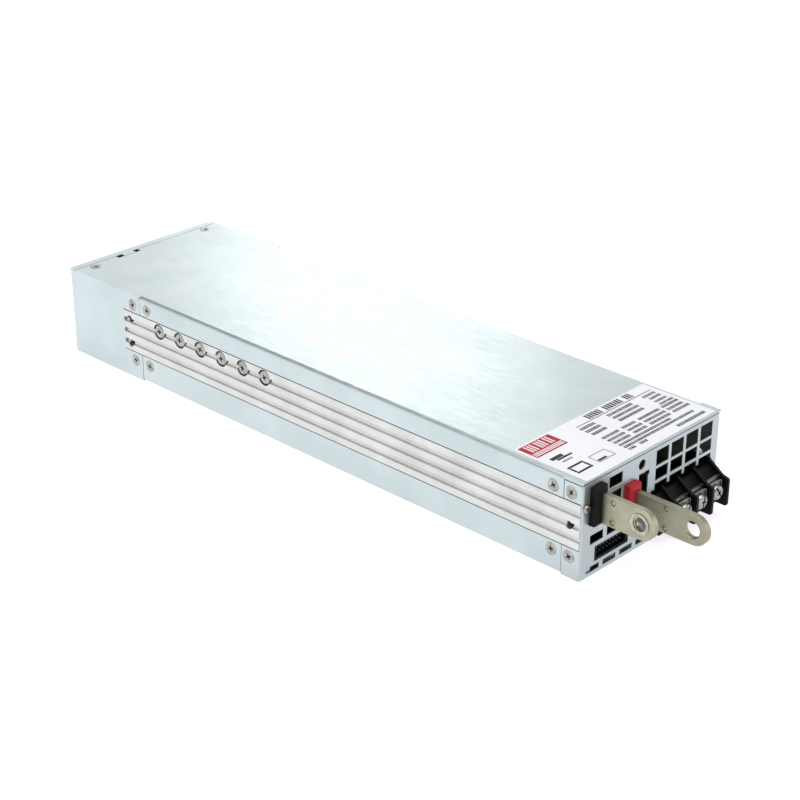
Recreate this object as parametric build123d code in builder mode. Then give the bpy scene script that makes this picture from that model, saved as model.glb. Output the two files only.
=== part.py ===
from build123d import *
from math import cos, radians, sin
import os

os.makedirs("parts", exist_ok=True)

# Millimetres. +X right and +Y towards the fans, seen from above with the terminals at the front.
# +Z up, origin at the middle of the case's underside.

# Case
case_length = 300.0
case_width = 85.0
case_height = 41.0
sheet = 0.8
bend_radius = 1.8  # cover and floor folds, outside
corner_radius = 1.2  # upright bends of the two ends
seam = 0.3
fit = 0.1  # slack of a piece set in a cut-out
half_width = case_width / 2
front_y = -case_length / 2
rear_y = case_length / 2
inner_x = half_width - sheet
cover_under = case_height - sheet

# Bands of the side walls: lower fold, bare heatsink, upper fold
window_low = 12.7
window_high = case_height - 8.7
band_gap_low = 0.35
band_gap_high = 0.5
tab_depth = 8.8  # front panel's folded tabs
rear_depth = 49.5  # rear housing, along Y
lip_depth = 4.1  # rear housing's strip in the top face
window_in_rear = 11.3  # how far the heatsink runs into the rear housing
tab_y = front_y + tab_depth
rear_seam_y = rear_y - rear_depth
cover_rear_y = rear_y - lip_depth
panel_gap = 0.4  # under the cover's front edge
panel_top = cover_under - panel_gap
sink_rear_y = rear_seam_y + window_in_rear
joggle = 12.0  # doubled strip where two floor sheets overlap

# Latch tongue of the rear housing, in the cover's rear edge
tongue_x = -12.0
tongue_width = 6.5
notch_x = -12.5
notch_width = 13.0
notch_depth = 2.4

# Heatsink extrusion
sink_thickness = 3.5
sink_low = sheet + 1.0
sink_high = panel_top - sheet - seam
groove_radius = 1.1
groove_count = 3
groove_low_z = window_low + 4.4
groove_pitch = (window_high - 4.8 - groove_low_z) / (groove_count - 1)
groove_heights = [groove_low_z + n * groove_pitch for n in range(groove_count)]
sink_inner_x = inner_x - sink_thickness
ledge_width = 3.0

# Flat-head screws that hold the folds to the heatsinks
flat_head_radius = 2.7
flat_shank_radius = 1.5
flat_length = 3.6
top_screw_length = 2 * sheet + seam / 2
thread_fit = 0.05
upper_screw_z = case_height - 5.3
lower_screw_z = 8.9
panel_screw_y = front_y + 5.4
fold_screw_front_y = front_y + 13.9
fold_screw_rear_y = rear_seam_y - 4.9
housing_screw_y = rear_seam_y + 4.8

# Tapped holes in the heatsinks, where the supply is fastened down
mount_radius = 1.65
mount_rear_y = rear_seam_y + 7.4
mount_rear_heights = (window_low + 3.7, window_high - 4.1)
mount_front_y = front_y + 5.8
mount_front_z = (window_low + window_high) / 2 - 0.35

# Device screws through the heatsinks
device_screw_z = window_high - 4.3
device_pitch = 13.6
device_count = 6
device_end_gap = 24.2  # last screw to the heatsink's rear end
device_head_radius = 2.9
device_head_height = 1.9
device_shank_radius = 1.45
device_hole_radius = 1.6
spotface_radius = 3.6
spotface_depth = 2.0
device_first_y = sink_rear_y - device_end_gap - (device_count - 1) * device_pitch
device_rows = [device_first_y + n * device_pitch for n in range(device_count)]

# Front panel openings
right_hole_x = 5.5
right_hole_columns = 4
hole_pitch_x = (half_width - 8.8 - right_hole_x) / (right_hole_columns - 1)
hole_width = hole_pitch_x - 1.6
right_row_tops = (case_height - 2.95, case_height - 10.6, case_height - 17.0)
right_row_heights = (6.4, 5.0, 4.8)
left_row_z = case_height - 5.6
low_row_z = 15.5
low_row_height = 3.7
row_drop = (left_row_z - low_row_z + 0.65) / 3
hole_height = row_drop - 2.15
foot_slot_z = 2.75
foot_slot_height = 2.2
foot_slot_first_x = 7.9 - half_width
foot_slot_pitch = hole_pitch_x + 0.6
foot_slot_count = 4
trimmer_x = -7.3
trimmer_z = case_height - 5.3
trimmer_hole_radius = 2.0
slot_x = -6.1
slot_high = window_high - 0.4
slot_low = slot_high - 10.5
slot_width = 5.8
slot_step_width = 0.8
slot_step_height = 2.0
end_screw_x = 1.9 - half_width
end_screw_z = window_high - 1.9
end_screw_radius = 1.2
end_head_radius = 1.7
end_head_height = 1.4
end_screw_length = 8.0

# Output bars and their plastic collars
bar_thickness = 2.5
bar_height = 12.4
left_bar_x = 9.25 - half_width
left_bar_z = cover_under - 11.15
left_bar_reach = 26.6
right_bar_x = -12.55
right_bar_reach = 35.2
left_hole_x = (left_bar_x + right_bar_x) / 2 - 0.1
bar_hole_back = 6.95  # from the tip to the hole's centre
bar_hole_radius = 3.35
bar_leg_y = front_y + 11.0
bar_root_y = front_y + 21.0
mark_radius = 1.1
mark_depth = 0.4
mark_back = 18.8
mark_spread = 4.1
collar_width = 7.0
collar_height = 15.9
collar_rise = 1.05
collar_shift = -1.2
collar_reach = 3.1
collar_rim = 0.7
collar_rim_depth = 1.2
insert_rim_radius = 4.4
insert_rim_height = 0.5
insert_barrel_radius = 3.8
insert_bore_radius = 2.75

# Mains terminal block
pole_count = 3
fin_thickness = 1.4
block_left_x = -0.4
block_right_x = half_width - 4.5
block_shoulder = 6.25
pole_pitch = (block_right_x - block_left_x - fin_thickness - block_shoulder) / pole_count
block_high = 21.5
block_inside = 11.0  # depth behind the panel
fin_reach = 9.8
fin_elbow_reach = 6.6
fin_elbow_top = 16.8
fin_front_top = 15.9
bay_reach = 4.8
bay_front_top = 15.0
bay_top = 19.3
contact_width = pole_pitch - fin_thickness - 0.9
contact_height = 11.0
contact_thickness = 1.0
clamp_width = contact_width - 0.6
clamp_height = 8.0
clamp_thickness = 0.8
clamp_gap = 0.3
terminal_z = 11.5
terminal_shank_radius = 1.95
terminal_bore_radius = 2.05
terminal_head_radius = 3.1
terminal_head_height = 2.3
terminal_screw_length = 9.0

# Circuit board
board_bottom = 4.0
board_thickness = 1.6
board_edge_gap = 0.5
board_front_y = front_y + 3.0
board_rear_y = sink_rear_y - 1.5
board_half = sink_inner_x - board_edge_gap
board_top = board_bottom + board_thickness
block_low = board_bottom + fit
standoff_radius = 2.6
standoff_bore = 1.25
standoff_x = half_width - 14.5
standoff_rows = [front_y + share * case_length for share in (0.11, 0.547, 0.747)]
sheet_thickness = 0.4  # insulation film
lead_radius = 0.4

# Signal header and the small header beside the trimmer
header_width = 18.8
header_height = 5.9
header_depth = 8.5
header_wall = 0.7
header_socket = 6.0
header_x = left_hole_x - 0.6
pin_size = 0.5
pin_pitch = 2.0
header_columns = 8
right_bar_z = board_top + header_height + 10.2
aux_width = 5.0
aux_height = 8.4
aux_depth = 8.0
aux_z = slot_high - 6.3
aux_rows = 3

# Upright control board behind the trimmer
control_x = -2.4
control_front_y = front_y + 2.0
control_length = 46.0
control_top = cover_under - 1.6
trimmer_size = 6.0
trimmer_depth = 5.0
rotor_radius = 1.6
rotor_depth = 2.0
rotor_fit = 0.08
led_radius = 1.0
led_length = 4.5
led_x = -4.2
led_z = slot_high - 1.0

# Fans
fan_gap = 0.8  # between the two frames
fan_side_gap = 3.3  # beside each frame
fan_width = half_width - sheet - fan_side_gap - fan_gap / 2
fan_height = case_height - 3 * sheet - 2 * seam
fan_depth = 28.0
fan_bore = min(fan_width, fan_height) / 2 - 1.1
fan_hole_dx = fan_width / 2 - 3.0
fan_hole_dz = fan_height / 2 - 3.0
fan_hole_radius = flat_shank_radius + thread_fit
fan_strut = 2.0
fan_web = 2.0
hub_radius = 10.0
hub_wall = 1.0
hub_depth = 18.0
hub_setback = 1.4
blade_tip_gap = 0.5
blade_count = 7
blade_span_angle = 38.0
blade_chord = 17.0
blade_thickness = 0.9
shaft_radius = 1.0
shaft_fit = 0.05
bearing_radius = 2.6
stator_radius = 7.6
stator_depth = 9.0
fan_x = fan_width / 2 + fan_gap / 2
fan_rear_y = rear_y - sheet
fan_front_y = fan_rear_y - fan_depth
fan_z = sheet + seam + fan_height / 2
guard_rows = 7
guard_pitch = 2 * fan_bore / (guard_rows - 0.1)
guard_hole = guard_pitch - 1.3


def save(piece, name):
    """Label a finished piece and write it."""
    piece.part.label = name
    export_step(piece.part, f"parts/{name}.step")


def side_spots(spots, depth=0.0):
    """Outward planes on both side faces at each (y, z), sunk by depth."""
    planes = []
    for side in (-1, 1):
        for y, z in spots:
            planes.append(Plane(origin=(side * (half_width - depth), y, z), z_dir=(side, 0, 0)))
    return planes


def front_plane(y):
    """Upright plane at y: sketch X is X, sketch Y is Z, extruding goes to the front."""
    return Plane.XZ.offset(-y)


def flat_screw(length):
    """Countersunk screw, head flush at z = 0, shank down."""
    with BuildPart() as screw:
        Cone(flat_shank_radius, flat_head_radius, flat_head_radius - flat_shank_radius,
             align=(Align.CENTER, Align.CENTER, Align.MAX))
        Cylinder(flat_shank_radius, length, align=(Align.CENTER, Align.CENTER, Align.MAX))
        add(cross_recess(0.5 * flat_head_radius, 1.0), mode=Mode.SUBTRACT)
    return screw.part


def pan_screw(head_radius, head_height, shank_radius, length):
    """Pan-head screw, underside of the head at z = 0, shank down."""
    with BuildPart() as screw:
        Cylinder(head_radius, head_height, align=(Align.CENTER, Align.CENTER, Align.MIN))
        fillet(screw.edges().group_by(Axis.Z)[-1], 0.45 * head_height)
        Cylinder(shank_radius, length, align=(Align.CENTER, Align.CENTER, Align.MAX))
        with Locations((0, 0, head_height)):
            add(cross_recess(0.55 * head_radius, 0.55 * head_height), mode=Mode.SUBTRACT)
    return screw.part


def cross_recess(reach, depth):
    """Cutter for the cross recess of a head whose top is at z = 0."""
    with BuildPart() as recess:
        Box(2 * reach, 0.4 * reach, depth, align=(Align.CENTER, Align.CENTER, Align.MAX))
        Box(0.4 * reach, 2 * reach, depth, align=(Align.CENTER, Align.CENTER, Align.MAX))
    return recess.part


panel_spots = [(panel_screw_y, upper_screw_z), (panel_screw_y, lower_screw_z)]
cover_spots = [(fold_screw_front_y, upper_screw_z), (fold_screw_rear_y, upper_screw_z)]
floor_spots = [(fold_screw_front_y, lower_screw_z), (fold_screw_rear_y, lower_screw_z)]
housing_spots = [(housing_screw_y, upper_screw_z), (housing_screw_y, lower_screw_z)]
all_side_spots = panel_spots + cover_spots + floor_spots + housing_spots
top_screw_x = half_width - 9.4
top_screw_spots = [(x, rear_y - 7.2) for x in (-top_screw_x, top_screw_x)]


def fold_holes(spots):
    """Countersunk holes through a folded sheet on both sides."""
    with Locations(*side_spots(spots)):
        CounterSinkHole(flat_shank_radius + fit, flat_head_radius + thread_fit, 2 * sheet + fit, 90)


# Top cover: flat ends over the housing and panel, folded down between them
cover_fold_front = tab_y + seam / 2
cover_fold_rear = rear_seam_y - seam / 2
with BuildPart() as top_cover:
    with BuildSketch(front_plane(cover_fold_rear)) as cover_fold:
        with Locations((0, case_height)):
            Rectangle(case_width, case_height - window_high, align=(Align.CENTER, Align.MAX))
        fillet(cover_fold.vertices().group_by(Axis.Y)[-1], bend_radius)
        with Locations((0, cover_under)):
            RectangleRounded(2 * inner_x, case_height, bend_radius - sheet,
                             align=(Align.CENTER, Align.MAX), mode=Mode.SUBTRACT)
    extrude(amount=cover_fold_rear - cover_fold_front)
    with BuildSketch(Plane.XY.offset(cover_under)):
        with Locations((0, front_y)):
            Rectangle(case_width, cover_fold_front - front_y, align=(Align.CENTER, Align.MIN))
        with Locations((0, cover_rear_y)):
            Rectangle(case_width, cover_rear_y - cover_fold_rear, align=(Align.CENTER, Align.MAX))
        with Locations((notch_x, cover_rear_y)):
            Rectangle(notch_width, notch_depth, align=(Align.CENTER, Align.MAX), mode=Mode.SUBTRACT)
    extrude(amount=sheet)
    fold_holes(cover_spots)
    with Locations(*[(x, y, case_height) for x, y in top_screw_spots]):
        CounterSinkHole(flat_shank_radius + fit, flat_head_radius + thread_fit, 2 * sheet, 90)
save(top_cover, "top_cover")

# Bottom plate: floor with both long edges folded up, and a raised strip under each neighbour
floor_rear = rear_seam_y - seam / 2
floor_front = tab_y + seam / 2
with BuildPart() as bottom_plate:
    with BuildSketch(front_plane(floor_rear)) as floor_fold:
        Rectangle(case_width, window_low, align=(Align.CENTER, Align.MIN))
        fillet(floor_fold.vertices().group_by(Axis.Y)[0], bend_radius)
        with Locations((0, sheet)):
            RectangleRounded(2 * inner_x, case_height, bend_radius - sheet,
                             align=(Align.CENTER, Align.MIN), mode=Mode.SUBTRACT)
    extrude(amount=floor_rear - floor_front)
    with BuildSketch(Plane.XY.offset(sheet)):
        with Locations((0, floor_front), (0, floor_rear)):
            Rectangle(2 * standoff_x, joggle)
    extrude(amount=sheet)
    fold_holes(floor_spots)
save(bottom_plate, "bottom_plate")

# Rear housing: floor, two walls with a slot for the heatsink, rear wall, top lip and tongue
with BuildPart() as rear_housing:
    with BuildSketch(Plane.XY):
        with Locations((0, rear_y)):
            Rectangle(case_width, rear_depth, align=(Align.CENTER, Align.MAX))
    extrude(amount=cover_under)
    fillet(rear_housing.edges().filter_by(Axis.Z).group_by(Axis.Y)[-1], corner_radius)
    with BuildSketch(Plane.XY.offset(sheet)):
        with Locations((0, rear_y - sheet)):
            Rectangle(2 * inner_x, rear_depth, align=(Align.CENTER, Align.MAX))
    extrude(amount=cover_under, mode=Mode.SUBTRACT)
    with BuildSketch(Plane.XY.offset(cover_under)):
        with Locations((0, rear_y)):
            Rectangle(case_width, lip_depth - seam, align=(Align.CENTER, Align.MAX))
        with Locations((tongue_x, rear_y)):
            Rectangle(tongue_width, lip_depth + notch_depth - seam, align=(Align.CENTER, Align.MAX))
        with Locations((0, rear_y)):
            Rectangle(2 * case_width, 2 * corner_radius, align=(Align.CENTER, Align.MIN),
                      mode=Mode.SUBTRACT)
    extrude(amount=sheet)
    with BuildSketch(Plane.XY.offset(cover_under)):
        for x, y in top_screw_spots:
            with Locations((x, rear_y)):
                Rectangle(14.0, lip_depth + 7.0, align=(Align.CENTER, Align.MAX))
    extrude(amount=-sheet)
    with Locations(*[(x, y, case_height) for x, y in top_screw_spots]):
        CounterSinkHole(flat_shank_radius + thread_fit, flat_head_radius + thread_fit, 3 * sheet, 90)
    with BuildSketch(Plane.YZ.offset(-case_width)):
        with Locations((rear_seam_y, window_low)):
            Rectangle(window_in_rear, window_high - window_low, align=(Align.MIN, Align.MIN))
    extrude(amount=2 * case_width, mode=Mode.SUBTRACT)
    fold_holes(housing_spots)
    with BuildSketch(front_plane(rear_y + seam)):
        for side in (-1, 1):
            with Locations((side * fan_x, fan_z)):
                with GridLocations(guard_pitch, guard_pitch, guard_rows, guard_rows) as guard:
                    spots = [s for s in guard.local_locations
                             if (s.position - Vector(side * fan_x, fan_z)).length < fan_bore]
            with Locations(*spots):
                Rectangle(guard_hole, guard_hole)
    extrude(amount=sheet + 2 * seam, mode=Mode.SUBTRACT)
    fan_screw_planes = [
        Plane(origin=(side * fan_x + dx, rear_y, fan_z + dz), z_dir=(0, 1, 0))
        for side in (-1, 1)
        for dx in (-fan_hole_dx, fan_hole_dx)
        for dz in (-fan_hole_dz, fan_hole_dz)
    ]
    with Locations(*fan_screw_planes):
        CounterSinkHole(flat_shank_radius + fit, flat_head_radius + thread_fit, 2 * sheet, 90)
save(rear_housing, "rear_housing")

# Front panel: face with its openings, folded back at both sides, top and bottom
with BuildPart() as front_panel:
    with BuildSketch(Plane.XY):
        with Locations((0, front_y)):
            Rectangle(case_width, tab_depth, align=(Align.CENTER, Align.MIN))
    extrude(amount=panel_top)
    fillet(front_panel.edges().filter_by(Axis.Z).group_by(Axis.Y)[0], corner_radius)
    with BuildSketch(Plane.XY.offset(sheet)):
        with Locations((0, front_y + sheet)):
            Rectangle(2 * inner_x, tab_depth, align=(Align.CENTER, Align.MIN))
    extrude(amount=panel_top - 2 * sheet, mode=Mode.SUBTRACT)
    with BuildSketch(Plane.YZ.offset(-case_width)):
        with Locations((front_y + sheet, window_low)):
            Rectangle(tab_depth, window_high - window_low, align=(Align.MIN, Align.MIN))
    extrude(amount=2 * case_width, mode=Mode.SUBTRACT)
    fold_holes(panel_spots)
    right_columns = [right_hole_x + n * hole_pitch_x for n in range(right_hole_columns)]
    with BuildSketch(front_plane(front_y + 2 * sheet)):
        for row_top, row_height in zip(right_row_tops, right_row_heights):
            with Locations(*[(x, row_top) for x in right_columns]):
                Rectangle(hole_width, row_height, align=(Align.CENTER, Align.MAX))
        left_rows = (left_row_z, left_row_z - row_drop, left_row_z - 2 * row_drop)
        with Locations(*[(left_hole_x, z) for z in left_rows]):
            Rectangle(hole_width, hole_height)
        with Locations((left_hole_x, low_row_z), (left_hole_x - foot_slot_pitch, low_row_z)):
            Rectangle(hole_width, low_row_height)
        foot_slots = [foot_slot_first_x + n * foot_slot_pitch for n in range(foot_slot_count)]
        with Locations(*[(x, foot_slot_z) for x in foot_slots]):
            Rectangle(hole_width, foot_slot_height)
        with Locations((trimmer_x, trimmer_z)):
            Circle(trimmer_hole_radius)
        with Locations((slot_x, slot_low)):
            Rectangle(slot_width, slot_high - slot_low, align=(Align.CENTER, Align.MIN))
        with Locations((slot_x + slot_width / 2, slot_high)):
            Rectangle(slot_step_width, slot_step_height, align=(Align.MIN, Align.MAX))
        with Locations((block_left_x - 2 * fit, block_low - fit)):
            Rectangle(block_right_x - block_left_x + 3 * fit, block_high - block_low + 2 * fit,
                      align=(Align.MIN, Align.MIN))
        with Locations((header_x, board_top - 2 * fit)):
            Rectangle(header_width + 1.6, header_height + 4 * fit, align=(Align.CENTER, Align.MIN))
        for bar_x, bar_z in ((left_bar_x, left_bar_z), (right_bar_x, right_bar_z)):
            with Locations((bar_x + collar_shift, bar_z + collar_rise)):
                Rectangle(collar_width + 2 * fit, collar_height + 2 * fit)
        with Locations((end_screw_x, end_screw_z)):
            Circle(end_screw_radius + fit)
    extrude(amount=3 * sheet, mode=Mode.SUBTRACT)
save(front_panel, "front_panel")


def heatsink(side):
    """Side extrusion: thick plate, raised face with grooves, ledge under the board."""
    with BuildPart() as sink:
        with BuildSketch(front_plane(sink_rear_y)):
            with Locations((side * inner_x, sink_low)):
                Rectangle(sink_thickness, sink_high - sink_low,
                          align=(Align.MAX if side > 0 else Align.MIN, Align.MIN))
            with Locations((side * half_width, window_low + band_gap_low)):
                Rectangle(sheet + sink_thickness,
                          window_high - window_low - band_gap_low - band_gap_high,
                          align=(Align.MAX if side > 0 else Align.MIN, Align.MIN))
            with Locations((side * sink_inner_x, sink_low)):
                Rectangle(ledge_width, board_bottom - sink_low,
                          align=(Align.MAX if side > 0 else Align.MIN, Align.MIN))
            with Locations(*[(side * half_width, z) for z in groove_heights]):
                Circle(groove_radius, mode=Mode.SUBTRACT)
        extrude(amount=sink_rear_y - front_y - sheet)
        spots = [(y, z) for y, z in all_side_spots]
        with Locations(*[p for p in side_spots(spots) if p.origin.X * side > 0]):
            CounterSinkHole(flat_shank_radius + thread_fit, flat_head_radius + thread_fit,
                            sheet + sink_thickness, 90)
        device_spots = [(y, device_screw_z) for y in device_rows]
        with Locations(*[p for p in side_spots(device_spots) if p.origin.X * side > 0]):
            CounterBoreHole(device_hole_radius, spotface_radius, spotface_depth,
                            2 * sheet + sink_thickness)
        mount_spots = [(mount_rear_y, z) for z in mount_rear_heights] + [(mount_front_y, mount_front_z)]
        with Locations(*[p for p in side_spots(mount_spots) if p.origin.X * side > 0]):
            Hole(mount_radius, 2 * sheet + sink_thickness)
    return sink


left_heatsink = heatsink(-1)
with left_heatsink:
    with Locations(Plane(origin=(end_screw_x, front_y + sheet, end_screw_z), z_dir=(0, -1, 0))):
        Hole(end_screw_radius + thread_fit, end_screw_length + 1.0)
save(left_heatsink, "left_heatsink")
right_heatsink = heatsink(1)
save(right_heatsink, "right_heatsink")

# Screws
side_screw = flat_screw(flat_length)
with BuildPart() as case_side_screws:
    with Locations(*side_spots(all_side_spots)):
        add(side_screw)
save(case_side_screws, "case_side_screws")

with BuildPart() as case_top_screws:
    with Locations(*[(x, y, case_height) for x, y in top_screw_spots]):
        add(flat_screw(top_screw_length))
save(case_top_screws, "case_top_screws")

device_screw = pan_screw(device_head_radius, device_head_height, device_shank_radius, 10.0)
with BuildPart() as device_screws:
    with Locations(*side_spots([(y, device_screw_z) for y in device_rows], spotface_depth)):
        add(device_screw)
save(device_screws, "device_screws")

end_screw = pan_screw(end_head_radius, end_head_height, end_screw_radius, end_screw_length)
with BuildPart() as panel_end_screw:
    with Locations(Plane(origin=(end_screw_x, front_y, end_screw_z), z_dir=(0, -1, 0))):
        add(end_screw)
save(panel_end_screw, "panel_end_screw")

# Rating label, a film on the cover
label_width = case_width - 5.4
label_length = 35.3
label_inset = 0.6
label_thickness = 0.12
label_corner = 0.8
with BuildPart() as rating_label:
    with BuildSketch(Plane.XY.offset(case_height)) as label_outline:
        with Locations((0, front_y + label_inset)):
            Rectangle(label_width, label_length, align=(Align.CENTER, Align.MIN))
        fillet(label_outline.vertices(), label_corner)
    extrude(amount=label_thickness)
save(rating_label, "rating_label")


def output_bar(x, z, reach, hole_radius):
    """Stamped bar: blade with a round end and a bolt hole, and a leg down to the board."""
    tip_y = front_y - reach
    half = bar_height / 2
    low = z - half
    high = z + half
    with BuildPart() as bar:
        with BuildSketch(Plane.YZ.offset(x - bar_thickness / 2)):
            with BuildLine():
                Polyline((tip_y + half, low), (bar_leg_y, low), (bar_leg_y, board_top),
                         (bar_root_y, board_top), (bar_root_y, high), (tip_y + half, high))
                ThreePointArc((tip_y + half, high), (tip_y, z), (tip_y + half, low))
            make_face()
            with Locations((tip_y + bar_hole_back, z)):
                Circle(hole_radius, mode=Mode.SUBTRACT)
        extrude(amount=bar_thickness)
        chamfer(bar.edges().filter_by(GeomType.CIRCLE).group_by(SortBy.LENGTH)[-1], 0.3)
        marks = [Plane(origin=(x - bar_thickness / 2, tip_y + mark_back, z + dz), z_dir=(-1, 0, 0))
                 for dz in (-mark_spread, mark_spread)]
        with Locations(*marks):
            Hole(mark_radius, mark_depth)
    return bar


output_bar_left = output_bar(left_bar_x, left_bar_z, left_bar_reach, insert_barrel_radius + thread_fit)
save(output_bar_left, "output_bar_left")
output_bar_right = output_bar(right_bar_x, right_bar_z, right_bar_reach, bar_hole_radius)
save(output_bar_right, "output_bar_right")

# Threaded bush pressed into the left bar
with BuildPart() as bar_insert:
    with BuildSketch(Plane.YZ.offset(left_bar_x - bar_thickness / 2)):
        with Locations((front_y - left_bar_reach + bar_hole_back, left_bar_z)):
            Circle(insert_barrel_radius)
    extrude(amount=bar_thickness)
    with BuildSketch(Plane.YZ.offset(left_bar_x - bar_thickness / 2)):
        with Locations((front_y - left_bar_reach + bar_hole_back, left_bar_z)):
            Circle(insert_rim_radius)
    extrude(amount=-insert_rim_height)
    chamfer(bar_insert.edges().group_by(Axis.X)[0], 0.2)
    with BuildSketch(Plane.YZ.offset(left_bar_x)):
        with Locations((front_y - left_bar_reach + bar_hole_back, left_bar_z)):
            Circle(insert_bore_radius)
    extrude(amount=2 * bar_thickness, both=True, mode=Mode.SUBTRACT)
save(bar_insert, "bar_insert")


def bar_collar(x, z):
    """Plastic collar through the panel, with a rim behind it and the bar's slot."""
    collar_x = x + collar_shift
    collar_z = z + collar_rise
    with BuildPart() as collar:
        with BuildSketch(front_plane(front_y + sheet + collar_rim_depth)):
            with Locations((collar_x, collar_z)):
                Rectangle(collar_width, collar_height)
        extrude(amount=sheet + collar_rim_depth + collar_reach)
        chamfer(collar.edges().group_by(Axis.Y)[0], 1.0)
        with BuildSketch(front_plane(front_y + sheet + collar_rim_depth)):
            with Locations((collar_x, collar_z)):
                Rectangle(collar_width, collar_height + 2 * collar_rim)
        extrude(amount=collar_rim_depth)
        with BuildSketch(front_plane(front_y + 2 * tab_depth)):
            with Locations((x, z)):
                Rectangle(bar_thickness + 2 * fit, bar_height + 2 * fit)
        extrude(amount=4 * tab_depth, mode=Mode.SUBTRACT)
    return collar


black_collar = bar_collar(left_bar_x, left_bar_z)
save(black_collar, "black_collar")
red_collar = bar_collar(right_bar_x, right_bar_z)
save(red_collar, "red_collar")

# Mains terminal block: fins between sloping bays
fin_centres = [block_right_x - fin_thickness / 2 - n * pole_pitch for n in range(pole_count + 1)]
pole_centres = [block_right_x - fin_thickness / 2 - (n + 0.5) * pole_pitch for n in range(pole_count)]
block_rear_y = front_y + block_inside
bay_front_y = front_y - bay_reach
with BuildPart() as ac_terminal_block:
    with BuildSketch(Plane.YZ.offset(block_left_x)):
        with BuildLine():
            Polyline((block_rear_y, block_low), (bay_front_y, block_low), (bay_front_y, bay_front_top),
                     (front_y, bay_top), (block_rear_y, bay_top), close=True)
        make_face()
    extrude(amount=block_right_x - block_left_x)
    for centre in fin_centres:
        with BuildSketch(Plane.YZ.offset(centre - fin_thickness / 2)) as fin:
            with BuildLine():
                Polyline((block_rear_y, block_low), (front_y - fin_reach, block_low),
                         (front_y - fin_reach, fin_front_top),
                         (front_y - fin_elbow_reach, fin_elbow_top), (front_y, block_high),
                         (block_rear_y, block_high), close=True)
            make_face()
            fillet(fin.vertices().sort_by(Axis.X)[:2], 1.0)
        extrude(amount=fin_thickness)
    bores = [Plane(origin=(x, bay_front_y, terminal_z), z_dir=(0, -1, 0)) for x in pole_centres]
    with Locations(*bores):
        Hole(terminal_bore_radius, terminal_screw_length)
save(ac_terminal_block, "ac_terminal_block")

terminal_screw = pan_screw(terminal_head_radius, terminal_head_height, terminal_shank_radius,
                           terminal_screw_length)
contact_front_y = bay_front_y - contact_thickness
clamp_front_y = contact_front_y - clamp_gap - clamp_thickness
for number, pole_x in enumerate(pole_centres, start=1):
    with BuildPart() as ac_contact:
        with BuildSketch(front_plane(bay_front_y)):
            with Locations((pole_x, terminal_z)):
                Rectangle(contact_width, contact_height)
                Circle(terminal_bore_radius + fit, mode=Mode.SUBTRACT)
        extrude(amount=contact_thickness)
    save(ac_contact, f"ac_contact_{number}")

    with BuildPart() as ac_clamp:
        with BuildSketch(front_plane(clamp_front_y + clamp_thickness)) as clamp_outline:
            with Locations((pole_x, terminal_z)):
                Rectangle(clamp_width, clamp_height)
                Circle(terminal_shank_radius + thread_fit, mode=Mode.SUBTRACT)
            fillet(clamp_outline.vertices().filter_by_position(
                Axis.X, pole_x - clamp_width / 2 - fit, pole_x - clamp_width / 2 + fit), 0.8)
        extrude(amount=clamp_thickness)
    save(ac_clamp, f"ac_clamp_{number}")

    with BuildPart() as ac_screw:
        with Locations(Plane(origin=(pole_x, clamp_front_y, terminal_z), z_dir=(0, -1, 0))):
            add(terminal_screw)
    save(ac_screw, f"ac_screw_{number}")

# Signal header on the board's front edge, with its pins
header_front_y = front_y + sheet / 2
with BuildPart() as signal_header:
    with BuildSketch(front_plane(header_front_y + header_depth)):
        with Locations((header_x, board_top)):
            Rectangle(header_width, header_height, align=(Align.CENTER, Align.MIN))
    extrude(amount=header_depth)
    with BuildSketch(front_plane(header_front_y + header_socket)):
        with Locations((header_x, board_top + header_wall)):
            Rectangle(header_width - 2 * header_wall, header_height - 2 * header_wall,
                      align=(Align.CENTER, Align.MIN))
    extrude(amount=header_socket, mode=Mode.SUBTRACT)
    with BuildSketch(front_plane(header_front_y + header_depth)):
        with Locations((header_x, board_top + header_height / 2)):
            with GridLocations(pin_pitch, pin_pitch, header_columns, 2):
                Rectangle(pin_size, pin_size)
    extrude(amount=header_depth, mode=Mode.SUBTRACT)
save(signal_header, "signal_header")

with BuildPart() as signal_pins:
    with BuildSketch(front_plane(header_front_y + header_depth)):
        with Locations((header_x, board_top + header_height / 2)):
            with GridLocations(pin_pitch, pin_pitch, header_columns, 2):
                Rectangle(pin_size, pin_size)
    extrude(amount=header_depth - 1.2)
save(signal_pins, "signal_pins")

# Upright control board with its small header, trimmer and lamp
with BuildPart() as control_board:
    with BuildSketch(Plane.YZ.offset(control_x)):
        with Locations((control_front_y, board_top)):
            Rectangle(control_length, control_top - board_top, align=(Align.MIN, Align.MIN))
    extrude(amount=board_thickness)
save(control_board, "control_board")

with BuildPart() as aux_header:
    with BuildSketch(front_plane(control_front_y + aux_depth)):
        with Locations((control_x, aux_z)):
            Rectangle(aux_width + 1.2, aux_height, align=(Align.MAX, Align.CENTER))
    extrude(amount=aux_depth)
    with BuildSketch(front_plane(control_front_y + header_socket)):
        with Locations((slot_x, aux_z)):
            Rectangle(aux_width - 1.4, aux_height - 1.4)
    extrude(amount=header_socket, mode=Mode.SUBTRACT)
    with BuildSketch(front_plane(control_front_y + aux_depth)):
        with Locations((slot_x, aux_z)):
            with GridLocations(pin_pitch, pin_pitch, 1, aux_rows):
                Rectangle(pin_size, pin_size)
    extrude(amount=aux_depth, mode=Mode.SUBTRACT)
save(aux_header, "aux_header")

with BuildPart() as aux_pins:
    with BuildSketch(front_plane(control_front_y + aux_depth)):
        with Locations((slot_x, aux_z)):
            with GridLocations(pin_pitch, pin_pitch, 1, aux_rows):
                Rectangle(pin_size, pin_size)
    extrude(amount=aux_depth - 1.0)
save(aux_pins, "aux_pins")

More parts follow.
